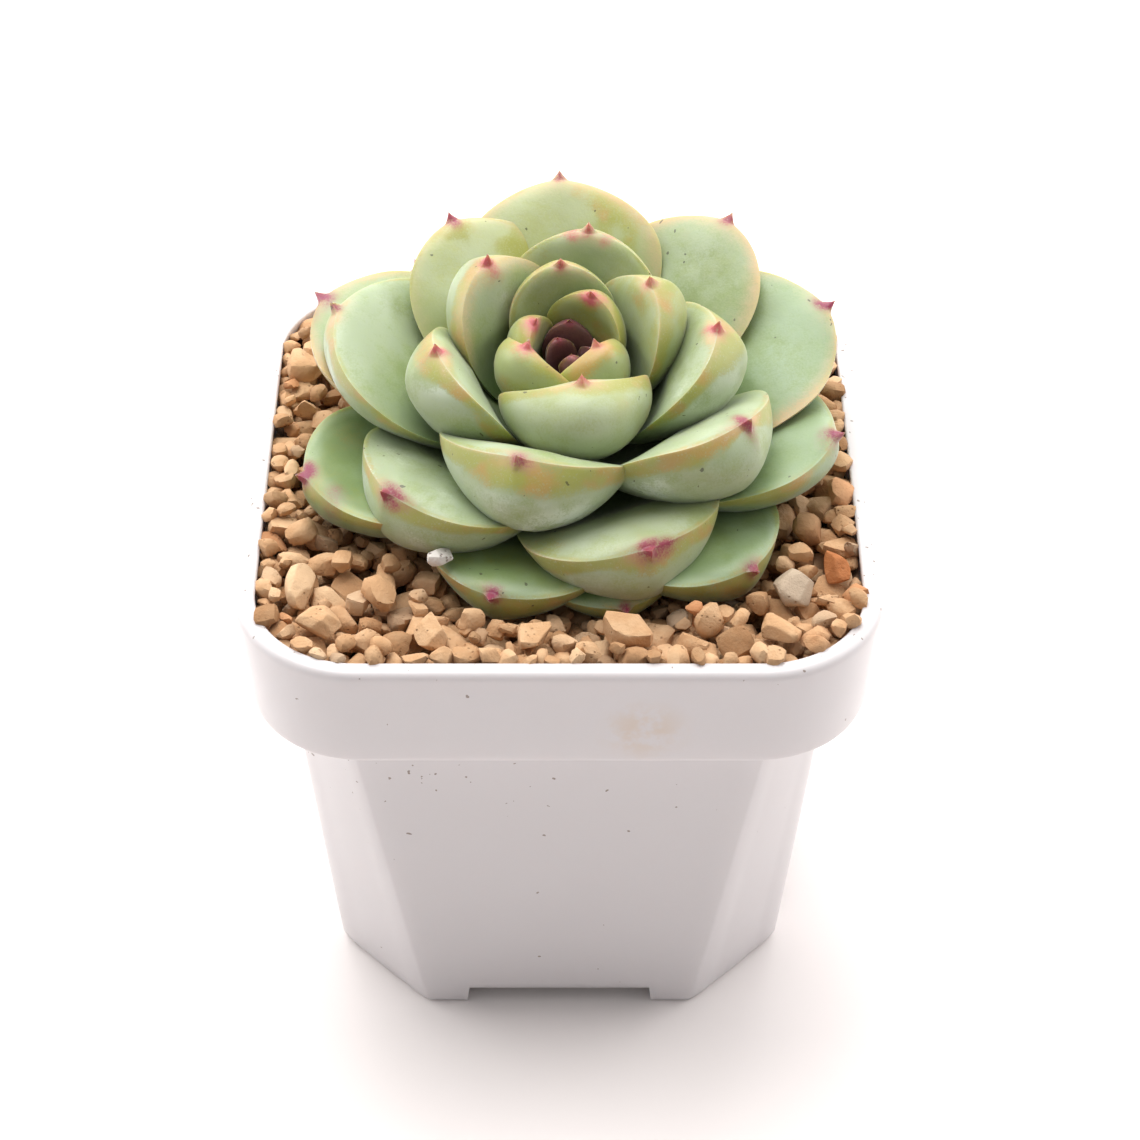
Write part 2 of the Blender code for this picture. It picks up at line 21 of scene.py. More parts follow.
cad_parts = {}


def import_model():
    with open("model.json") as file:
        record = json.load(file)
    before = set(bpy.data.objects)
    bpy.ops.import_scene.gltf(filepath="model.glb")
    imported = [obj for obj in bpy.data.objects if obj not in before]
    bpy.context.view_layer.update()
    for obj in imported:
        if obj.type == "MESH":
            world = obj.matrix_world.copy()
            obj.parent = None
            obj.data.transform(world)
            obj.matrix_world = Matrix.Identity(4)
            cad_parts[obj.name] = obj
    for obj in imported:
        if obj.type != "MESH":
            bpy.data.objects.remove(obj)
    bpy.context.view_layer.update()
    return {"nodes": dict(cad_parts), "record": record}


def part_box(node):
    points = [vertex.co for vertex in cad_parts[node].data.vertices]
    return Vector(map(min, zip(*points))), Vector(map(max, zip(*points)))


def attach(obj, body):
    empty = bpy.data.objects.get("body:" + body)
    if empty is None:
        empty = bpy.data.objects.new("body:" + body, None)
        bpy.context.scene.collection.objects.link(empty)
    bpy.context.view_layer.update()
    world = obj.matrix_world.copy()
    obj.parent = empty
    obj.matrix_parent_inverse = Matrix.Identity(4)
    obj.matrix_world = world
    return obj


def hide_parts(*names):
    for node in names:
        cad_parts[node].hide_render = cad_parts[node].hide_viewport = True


LOG = logging.getLogger("succulent")
MM = 0.001
BODY = "root"
AXIS_PRIMES = (73856093, 19349663, 83492791)
SEED_PRIME = 668265263
STIR_PRIME = 1274126177
PLAIN_CRUMPLE = 0.03
NOMINAL_MOUTH = 34.2
PLANT_AT = (1.0, 1.5)
AIM_HEIGHT = 0.0475
Socket = bpy.types.NodeSocket
Colour = tuple[float, float, float]


# ---- Surfaces ----


def smooth(value: np.ndarray, low: float, high: float) -> np.ndarray:
    """Smooth step: 0 at low, 1 at high, with level ends; low may exceed high.

    Args:
        value: Any array.
        low: Value that gives 0.
        high: Value that gives 1.

    Returns:
        Array of the same shape, between 0 and 1.
    """
    t = np.clip((np.asarray(value, float) - low) / (high - low), 0.0, 1.0)
    return t * t * (3.0 - 2.0 * t)


def bell(distance: np.ndarray, reach: float) -> np.ndarray:
    """Bell curve: 1 where the distance is 0, fading over the reach."""
    return np.exp(-((distance / reach) ** 2))


def lattice_noise(points: np.ndarray, cell: float, seed: int) -> np.ndarray:
    """Value noise: random numbers on a cubic lattice, blended by smooth steps.

    Args:
        points: Array (..., 3) of places.
        cell: Lattice spacing, in the points' units.
        seed: Whole number that picks the pattern.

    Returns:
        Array (...) between -1 and 1.
    """
    place = points / cell
    corner = np.floor(place)
    part = place - corner
    part = part * part * (3.0 - 2.0 * part)
    corner = corner.astype(np.int64)
    total = np.zeros(points.shape[:-1])
    for step in range(8):
        offset = np.array([step & 1, (step >> 1) & 1, (step >> 2) & 1])
        cube = corner + offset
        key = np.bitwise_xor.reduce(cube * AXIS_PRIMES, axis=-1) ^ (seed * SEED_PRIME)
        key = ((key ^ (key >> 13)) * STIR_PRIME) & 0xFFFFFFFF
        random = ((key ^ (key >> 16)) & 0xFFFF) / 32767.5 - 1.0
        weight = np.prod(np.where(offset == 1, part, 1.0 - part), axis=-1)
        total += random * weight
    return total


@dataclass
class Shell:
    """Closed surface being gathered: points, quads, triangles and attributes."""

    points: np.ndarray
    quads: np.ndarray
    triangles: np.ndarray
    zones: dict[str, np.ndarray] = field(default_factory=dict)

    @staticmethod
    def from_rings(rings: np.ndarray, start: np.ndarray | None, end: np.ndarray | None) -> Shell:
        """Rings joined by quads; each end closes in a pole, or last joins first.

        Args:
            rings: Array (stations, around, 3).
            start: Pole before the first ring, or None.
            end: Pole after the last ring, or None for a ring of rings.

        Returns:
            The shell, with faces turned outwards.
        """
        stations, around = rings.shape[:2]
        index = np.arange(stations * around).reshape(stations, around)
        low = index if end is None else index[:-1]
        high = np.roll(index, -1, 0)[: len(low)]
        turn = [np.roll(part, -1, 1) for part in (low, high)]
        quads = np.stack([low, turn[0], turn[1], high], -1).reshape(-1, 4)
        points = rings.reshape(-1, 3)
        triangles = np.zeros((0, 3), int)
        if end is not None:
            first, last = index[0], index[-1]
            count = len(points)
            points = np.concatenate([points, start[None], end[None]])
            opening = np.stack([np.roll(first, -1), first, np.full(around, count)], -1)
            closing = np.stack([last, np.roll(last, -1), np.full(around, count + 1)], -1)
            triangles = np.concatenate([opening, closing])
        shell = Shell(points, quads, triangles)
        if shell.volume() < 0:
            shell.quads = quads[:, ::-1]
            shell.triangles = triangles[:, ::-1]
        return shell

    def volume(self) -> float:
        """Signed volume: the sum over faces of corner triple products."""
        halves = np.concatenate([self.quads[:, [0, 1, 2]], self.quads[:, [0, 2, 3]], self.triangles])
        a, b, c = (self.points[halves[:, k]] for k in range(3))
        return float(np.einsum("ij,ij->i", a, np.cross(b, c)).sum() / 6.0)

    def build(self, name: str, material: bpy.types.Material, sharp: float | None = None) -> bpy.types.Object:
        """Makes the mesh object.

        Args:
            name: Object name.
            material: Its one material.
            sharp: Edge angle in degrees above which shading breaks, or None.

        Returns:
            The linked object.
        """
        mesh = bpy.data.meshes.new(name)
        mesh.vertices.add(len(self.points))
        mesh.vertices.foreach_set("co", self.points.astype(np.float32).ravel())
        corners = np.concatenate([self.quads.ravel(), self.triangles.ravel()]).astype(np.int32)
        starts = [np.arange(len(self.quads)) * 4, len(self.quads) * 4 + np.arange(len(self.triangles)) * 3]
        mesh.loops.add(len(corners))
        mesh.loops.foreach_set("vertex_index", corners)
        mesh.polygons.add(len(self.quads) + len(self.triangles))
        mesh.polygons.foreach_set("loop_start", np.concatenate(starts).astype(np.int32))
        mesh.update(calc_edges=True)
        mesh.validate()
        mesh.shade_smooth()
        if sharp is not None:
            mesh.set_sharp_from_angle(angle=math.radians(sharp))
        for zone, values in self.zones.items():
            attribute = mesh.attributes.new(name=zone, type="FLOAT_COLOR", domain="POINT")
            rgba = np.ones((len(self.points), 4), np.float32)
            rgba[:, : values.shape[1]] = values
            attribute.data.foreach_set("color", rgba.ravel())
        mesh.materials.append(material)
        obj = bpy.data.objects.new(name, mesh)
        bpy.context.scene.collection.objects.link(obj)
        return obj


def merge_shells(shells: list[Shell]) -> Shell:
    """Joins shells into one, keeping their zones.

    Args:
        shells: Shells that all carry the same zones.

    Returns:
        One shell holding every body.
    """
    starts = np.cumsum([0] + [len(shell.points) for shell in shells[:-1]])
    merged = Shell(
        np.concatenate([shell.points for shell in shells]),
        np.concatenate([shell.quads + start for shell, start in zip(shells, starts)]),
        np.concatenate([shell.triangles + start for shell, start in zip(shells, starts)]),
    )
    for zone in shells[0].zones:
        merged.zones[zone] = np.concatenate([shell.zones[zone] for shell in shells])
    return merged


def finish_piece(obj: bpy.types.Object, slot: str, *nodes: str) -> None:
    """Rides a piece on the body and hides and names the CAD nodes it replaces.

    Args:
        obj: The new piece.
        slot: Material slot of the record; not used.
        nodes: CAD nodes that it stands for.
    """
    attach(obj, BODY)
    if nodes:
        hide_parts(*nodes)
    LOG.info("%s: %d faces for %s", obj.name, len(obj.data.polygons), ", ".join(nodes) or "trim")


# ---- Shader wiring ----


class Blend(Enum):
    """How a colour mix combines its two colours."""

    MIX = "MIX"
    MULTIPLY = "MULTIPLY"


class Wiring:
    """Shorthand for adding and joining nodes in one shader tree."""

    def __init__(self, tree: bpy.types.NodeTree) -> None:
        """Keeps the tree."""
        self.tree = tree

    def put(self, socket: Socket, value: object) -> None:
        """Links a socket into an input, or sets the input to a constant."""
        if isinstance(value, bpy.types.NodeSocket):
            self.tree.links.new(value, socket)
        elif isinstance(value, tuple) and len(value) == 3 and socket.type == "RGBA":
            socket.default_value = (*value, 1.0)
        else:
            socket.default_value = value

    def node(self, kind: str, inputs: dict | None = None, **settings: object) -> bpy.types.Node:
        """Adds a node.

        Args:
            kind: Node type name.
            inputs: Values or sockets by input name or index.
            settings: Node properties.

        Returns:
            The node.
        """
        made = self.tree.nodes.new(kind)
        for key, value in settings.items():
            setattr(made, key, value)
        return self.feed(made, inputs or {})

    def feed(self, made: bpy.types.Node, inputs: dict) -> bpy.types.Node:
        """Puts values or sockets into a node's inputs, and returns the node."""
        for key, value in inputs.items():
            self.put(made.inputs[key], value)
        return made

    def mix(self, factor: object, a: object, b: object, blend: Blend = Blend.MIX) -> Socket:
        """Colour mix of a and b by factor."""
        made = self.node("ShaderNodeMix", data_type="RGBA", blend_type=blend.value, clamp_factor=True)
        return self.feed(made, {0: factor, 6: a, 7: b}).outputs[2]

    def math(self, operation: str, a: object, b: object = 0.0) -> Socket:
        """Arithmetic on two values."""
        return self.node("ShaderNodeMath", {0: a, 1: b}, operation=operation).outputs[0]

    def times(self, a: object, b: object) -> Socket:
        """Product of two values."""
        return self.math("MULTIPLY", a, b)

    def plus(self, a: object, b: object) -> Socket:
        """Sum of two values."""
        return self.math("ADD", a, b)

    def vector(self, operation: str, a: object, b: object) -> Socket:
        """Arithmetic on two vectors."""
        return self.node("ShaderNodeVectorMath", {0: a, 1: b}, operation=operation).outputs[0]

    def noise(self, vector: object, scale: object, detail: float = 2.0, rough: float = 0.55) -> Socket:
        """Perlin noise, about 0 to 1."""
        inputs = {"Vector": vector, "Scale": scale, "Detail": detail, "Roughness": rough}
        return self.node("ShaderNodeTexNoise", inputs).outputs["Fac"]

    def step(self, value: object, low: object, high: object, top: object = 1.0) -> Socket:
        """Smooth step of a value from low to high, times top."""
        inputs = {"Value": value, "From Min": low, "From Max": high, "To Max": top}
        return self.node("ShaderNodeMapRange", inputs, interpolation_type="SMOOTHSTEP").outputs[0]

    def zone(self, name: str) -> tuple[Socket, Socket, Socket]:
        """The three masks held in a painted attribute of the piece."""
        source = self.node("ShaderNodeAttribute", attribute_name=name)
        split = self.node("ShaderNodeSeparateColor", {0: source.outputs["Color"]})
        return split.outputs[0], split.outputs[1], split.outputs[2]

    def place(self) -> Socket:
        """Object coordinates, in metres."""
        return self.node("ShaderNodeTexCoord").outputs["Object"]

    def bump(self, height: object, distance: float, strength: float = 1.0) -> Socket:
        """Normal from a height."""
        inputs = {"Height": height, "Distance": distance, "Strength": strength}
        return self.node("ShaderNodeBump", inputs).outputs[0]

    def group(self, tree: bpy.types.NodeTree, inputs: dict) -> bpy.types.Node:
        """Places a node group with its values."""
        made = self.tree.nodes.new("ShaderNodeGroup")
        made.node_tree = tree
        return self.feed(made, inputs)


class GroupMaker:
    """A node group being built: its tree, wiring, and named ends."""

    def __init__(self, name: str, inputs: dict[str, tuple[str, object]], outputs: dict[str, str]) -> None:
        """Starts a group.

        Args:
            name: Group name.
            inputs: Socket kind and default by input name.
            outputs: Socket kind by output name.
        """
        self.tree = bpy.data.node_groups.new(name, "ShaderNodeTree")
        for key, (kind, default) in inputs.items():
            made = self.tree.interface.new_socket(name=key, in_out="INPUT", socket_type="NodeSocket" + kind)
            if kind == "Float":
                made.default_value = default
            elif kind == "Color":
                made.default_value = (*default, 1.0)
        for key, kind in outputs.items():
            self.tree.interface.new_socket(name=key, in_out="OUTPUT", socket_type="NodeSocket" + kind)
        self.wiring = Wiring(self.tree)
        self.inputs = self.tree.nodes.new("NodeGroupInput").outputs
        self.ends = self.tree.nodes.new("NodeGroupOutput").inputs

    def out(self, name: str, value: object) -> None:
        """Feeds an output of the group."""
        self.wiring.put(self.ends[name], value)


def speck_group() -> bpy.types.NodeTree:
    """Sparse specks of dirt: small cells of which only a few are dark.

    Returns:
        Group with Vector, Scale, Density and Size in, and Mask out.
    """
    found = bpy.data.node_groups.get("dirt_specks")
    if found:
        return found
    inputs = {"Vector": ("Vector", None)}
    for key, default in (("Scale", 400.0), ("Density", 0.1), ("Size", 0.3)):
        inputs[key] = ("Float", default)
    made = GroupMaker("dirt_specks", inputs, {"Mask": "Float"})
    w = made.wiring
    warp = w.node("ShaderNodeTexNoise", {"Vector": made.inputs["Vector"], "Scale": 900.0, "Detail": 1.0})
    bent = w.vector("MULTIPLY", warp.outputs["Color"], (0.0012, 0.0012, 0.0012))
    where = w.vector("ADD", made.inputs["Vector"], bent)
    cells = w.node("ShaderNodeTexVoronoi", {"Vector": where, "Scale": made.inputs["Scale"]})
    pick = w.node("ShaderNodeSeparateColor", {0: cells.outputs["Color"]})
    chosen = w.math("LESS_THAN", pick.outputs[0], made.inputs["Density"])
    size = w.times(made.inputs["Size"], pick.outputs[1])
    spot = w.math("LESS_THAN", cells.outputs["Distance"], size)
    made.out("Mask", w.times(chosen, spot))
    return made.tree


def grit_group() -> bpy.types.NodeTree:
    """Stony relief: soft lumps, fine grain and scattered pits.

    Returns:
        Group with Vector and Scale in, Height and Pits out.
    """
    found = bpy.data.node_groups.get("stone_grit")
    if found:
        return found
    inputs = {"Vector": ("Vector", None), "Scale": ("Float", 1.0)}
    made = GroupMaker("stone_grit", inputs, {"Height": "Float", "Pits": "Float"})
    w = made.wiring
    sized = {0: made.inputs["Vector"], 3: made.inputs["Scale"]}
    where = w.node("ShaderNodeVectorMath", sized, operation="SCALE").outputs[0]
    lumps = w.noise(where, 700.0, 3.0, 0.6)
    grain = w.noise(where, 3200.0, 2.0, 0.7)
    cells = w.node("ShaderNodeTexVoronoi", {"Vector": where, "Scale": 1500.0, "Randomness": 1.0})
    pits = w.step(cells.outputs["Distance"], 0.3, 0.08)
    rare = w.step(w.noise(where, 420.0, 1.0), 0.5, 0.66)
    pits = w.times(pits, rare)
    height = w.plus(w.times(lumps, 0.6), w.times(grain, 0.35))
    made.out("Height", w.math("SUBTRACT", height, w.times(pits, 0.5)))
    made.out("Pits", pits)
    return made.tree


# ---- Finishes ----


def new_material(name: str) -> tuple[bpy.types.Material, Wiring, bpy.types.Node]:
    """Starts a node material.

    Args:
        name: Material name.

    Returns:
        The material, wiring for its tree, and its Principled shader.
    """
    material = bpy.data.materials.new(name)
    material.use_nodes = True
    return material, Wiring(material.node_tree), material.node_tree.nodes["Principled BSDF"]


@dataclass(frozen=True)
class Specks:
    """Sparse dirt laid over a colour: cells per metre, speck size, strength."""

    scale: float
    size: float
    share: float

    def over(self, w: Wiring, colour: Socket, dirt: Colour, density: object) -> Socket:
        """Adds the specks.

        Args:
            w: Wiring of the material.
            colour: Clean colour.
            dirt: Colour of the specks.
            density: Share of the cells that hold one.

        Returns:
            The dirtied colour.
        """
        inputs = {"Vector": w.place(), "Scale": self.scale, "Density": density, "Size": self.size}
        mask = w.group(speck_group(), inputs).outputs["Mask"]
        return w.mix(w.times(mask, self.share), colour, dirt)


@dataclass(frozen=True)
class WaxyLeaf:
    """Fleshy leaf: green flesh under a pale waxy bloom, tan margin, red tip."""

    name: str
    body: Colour = (0.23, 0.31, 0.11)
    bloom: Colour = (0.53, 0.61, 0.47)
    # dark green of the leaf base, also laid on as painted shade between and under leaves
    deep: Colour = (0.085, 0.165, 0.03)
    olive: Colour = (0.345, 0.345, 0.065)
    warm: Colour = (0.62, 0.60, 0.27)
    tan: Colour = (0.64, 0.40, 0.24)
    rust: Colour = (0.46, 0.285, 0.07)
    # whiter bloom, and a painted highlight where the margins catch the back light
    frost_and_highlight: Colour = (0.70, 0.76, 0.68)
    blush: Colour = (0.29, 0.05, 0.08)
    soil: Colour = (0.05, 0.045, 0.03)
    bloom_amount: float = 0.9
    speck_density: float = 0.05

    def build(self) -> bpy.types.Material:
        """Wires the material.

        Zone "flesh" holds deep, olive and tan; zone "skin" holds blush,
        bloom and warm.  Fine noise breaks each zone's edge into grains.
        """
        material, w, shader = new_material(self.name)
        place = w.place()
        deep, olive, tan = w.zone("flesh")
        blush, bloom, warm = w.zone("skin")
        grains = w.noise(place, 4200.0, 2.0, 0.7)
        clouds = w.noise(place, 170.0, 3.0, 0.6)
        streaks = w.noise(place, 760.0, 3.0, 0.65)
        ragged = w.plus(w.times(grains, 1.1), w.times(streaks, 0.8))
        ragged = w.math("SUBTRACT", ragged, 0.95)
        bare = w.step(w.plus(olive, w.times(ragged, 0.8)), -0.08, 0.5)
        bare = w.times(bare, w.step(olive, 0.0, 0.22))
        dots = w.times(w.step(grains, 0.56, 0.68), w.step(streaks, 0.4, 0.6))
        bare = w.times(bare, w.math("SUBTRACT", 1.0, w.times(dots, 0.55)))
        hue = w.step(w.noise(place, 210.0, 2.0, 0.6), 0.47, 0.66)
        belt = w.mix(hue, self.olive, self.rust)
        colour = w.mix(w.step(clouds, 0.35, 0.7, 0.38), self.body, self.deep)
        colour = w.mix(w.times(warm, 0.9), colour, self.warm)
        colour = w.mix(w.times(bare, 0.9), colour, belt)
        wax = w.times(bloom, w.math("SUBTRACT", 1.0, w.times(bare, 0.84)))
        patchy = w.step(w.plus(clouds, w.times(ragged, 0.35)), 0.22, 0.62)
        wax = w.times(wax, w.plus(0.16, w.times(patchy, 0.84)))
        colour = w.mix(w.times(wax, self.bloom_amount), colour, self.bloom)
        # strongest wax, mostly on the margins, turns frost white: part bloom, part painted highlight
        colour = w.mix(w.step(wax, 0.62, 1.0, 0.75), colour, self.frost_and_highlight)
        # the deep zone paints the base's deeper green and the shade between and under leaves
        colour = w.mix(w.times(deep, 0.88), colour, self.deep)
        tan_edge = w.plus(tan, w.times(ragged, 0.3))
        colour = w.mix(w.step(tan_edge, 0.08, 1.0, 0.8), colour, self.tan)
        blush_edge = w.plus(blush, w.times(ragged, w.times(blush, 1.3)))
        colour = w.mix(w.step(blush_edge, 0.05, 0.9), colour, self.blush)
        height = w.plus(w.times(grains, 0.25), w.times(streaks, 0.75))
        values = {
            "Base Color": Specks(1250.0, 0.3, 0.7).over(w, colour, self.soil, self.speck_density),
            "Roughness": w.plus(0.34, w.times(wax, 0.2)),
            "Normal": w.bump(height, 0.00009, 0.6),
            "Subsurface Weight": 0.3,
            "Subsurface Radius": (0.8, 1.0, 0.25),
            "Subsurface Scale": 0.0016,
            "Specular IOR Level": 0.45,
            "Sheen Weight": 0.2,
            "Sheen Roughness": 0.4,
        }
        w.feed(shader, values)
        return material


@dataclass(frozen=True)
class CrushedStone:
    """Soft baked-clay gravel: tan with darker grain and painted shade in the pits; tone per stone."""

    name: str
    tint: Colour = (0.57, 0.335, 0.175)
    dark: Colour = (0.27, 0.14, 0.065)
    dust: Colour = (0.74, 0.52, 0.32)

    def build(self) -> bpy.types.Material:
        """Wires the material; zone "tone" holds warmth, lightness and a place shift."""
        material, w, shader = new_material(self.name)
        warmth, light, shift = w.zone("tone")
        place = w.place()
        offset = w.node("ShaderNodeCombineXYZ", {0: w.times(shift, 0.05), 1: warmth})
        place = w.vector("ADD", place, offset.outputs[0])
        grit = w.group(grit_group(), {"Vector": place, "Scale": 1.0})
        patches = w.noise(place, 330.0, 3.0, 0.65)
        colour = w.mix(w.step(patches, 0.38, 0.68, 0.45), self.tint, self.dust)
        grey = w.mix(0.75, colour, (0.46, 0.40, 0.32))
        colour = w.mix(w.step(warmth, 0.45, 0.0), colour, grey)
        red = w.mix(1.0, colour, (0.95, 0.62, 0.45), Blend.MULTIPLY)
        colour = w.mix(w.step(warmth, 0.6, 1.0), colour, red)
        colour = w.mix(w.step(light, 0.5, 1.0, 0.7), colour, self.dust)
        dim = w.mix(1.0, colour, (0.62, 0.56, 0.50), Blend.MULTIPLY)
        colour = w.mix(w.step(light, 0.5, 0.0), colour, dim)
        # painted shade: the pits that the bump hollows are darkened as if in shade
        colour = w.mix(w.times(grit.outputs["Pits"], 0.7), colour, self.dark)
        relief = w.bump(grit.outputs["Height"], 0.00035, 0.85)
        values = {"Base Color": colour, "Roughness": 0.9, "Specular IOR Level": 0.25, "Normal": relief}
        w.feed(shader, values)
        return material


@dataclass(frozen=True)
class DarkMix:
    """Dark crumbly potting mix or the fines between the stones."""

    name: str
    dark: Colour = (0.03, 0.02, 0.014)
    light: Colour = (0.16, 0.10, 0.055)

    def build(self) -> bpy.types.Material:
        """Wires the material."""
        material, w, shader = new_material(self.name)
        place = w.place()
        grit = w.group(grit_group(), {"Vector": place, "Scale": 0.7})
        crumbs = w.noise(place, 900.0, 4.0, 0.7)
        colour = w.mix(w.step(crumbs, 0.4, 0.75), self.dark, self.light)
        relief = w.bump(grit.outputs["Height"], 0.0008)
        w.feed(shader, {"Base Color": colour, "Roughness": 0.95, "Normal": relief})
        return material


@dataclass(frozen=True)
class PotPlastic:
    """Satin white moulded plastic with a little dust and a faint smudge."""

    name: str = "pot_plastic"
    white: Colour = (0.645, 0.62, 0.632)
    dirt: Colour = (0.16, 0.10, 0.06)
    smudge: Colour = (0.62, 0.50, 0.40)

    def build(
        self, smudge_at: tuple[float, float, float], dusty_below: float, dusty_above: float
    ) -> bpy.types.Material:
        """Wires the material.

        Args:
            smudge_at: Middle of the faint brown smudge.
            dusty_below: Height under which the body carries dirt specks.
            dusty_above: Height of the lip, which carries fine dirt.
        """
        material, w, shader = new_material(self.name)
        place = w.place()
        uneven = w.noise(place, 60.0, 2.0, 0.5)
        apart = w.node("ShaderNodeVectorMath", {0: place, 1: smudge_at}, operation="DISTANCE")
        ragged = w.step(w.noise(place, 330.0, 3.0, 0.7), 0.32, 0.62)
        soft = w.times(w.step(apart.outputs["Value"], 0.0062, 0.001), ragged)
        colour = w.mix(w.times(soft, 0.6), self.white, self.smudge)
        split = w.node("ShaderNodeSeparateXYZ", {0: place})
        side = w.step(split.outputs[0], 0.006, -0.016)
        low = w.step(split.outputs[2], dusty_below, dusty_below - 0.0008)
        high = w.step(split.outputs[2], dusty_below - 0.02, dusty_below - 0.002)
        patch = w.step(w.noise(place, 130.0, 2.0), 0.4, 0.6)
        dense = w.times(w.times(side, low), w.times(patch, high))
        density = w.plus(w.times(dense, 0.5), 0.008)
        colour = Specks(1500.0, 0.34, 0.75).over(w, colour, self.dirt, density)
        lip = w.step(split.outputs[2], dusty_above - 0.0009, dusty_above)
        values = {
            "Base Color": Specks(2100.0, 0.4, 0.7).over(w, colour, self.dirt, w.times(lip, 0.07)),
            "Roughness": w.plus(0.26, w.times(uneven, 0.12)),
            "Normal": w.bump(w.noise(place, 240.0, 2.0), 0.00006, 0.5),
            "Subsurface Weight": 0.3,
            "Subsurface Radius": (1.0, 0.85, 0.8),
            "Subsurface Scale": 0.003,
        }
        w.feed(shader, values)
        return material


@dataclass(frozen=True)
class DryStem:
    """Tan-green woody stem with rings of old leaf scars."""

    name: str = "dry_stem"
    bark: Colour = (0.26, 0.20, 0.10)
    scar: Colour = (0.10, 0.07, 0.035)

    def build(self) -> bpy.types.Material:
        """Wires the material."""
        material, w, shader = new_material(self.name)
        place = w.place()
        flat = w.node("ShaderNodeMapping", {"Vector": place, "Scale": (0.35, 0.35, 1.6)}).outputs[0]
        bands = w.noise(flat, 420.0, 3.0, 0.6)
        colour = w.mix(w.step(bands, 0.4, 0.65), self.scar, self.bark)
        w.feed(shader, {"Base Color": colour, "Roughness": 0.85, "Normal": w.bump(bands, 0.0004)})
        return material


# ---- Pot ----


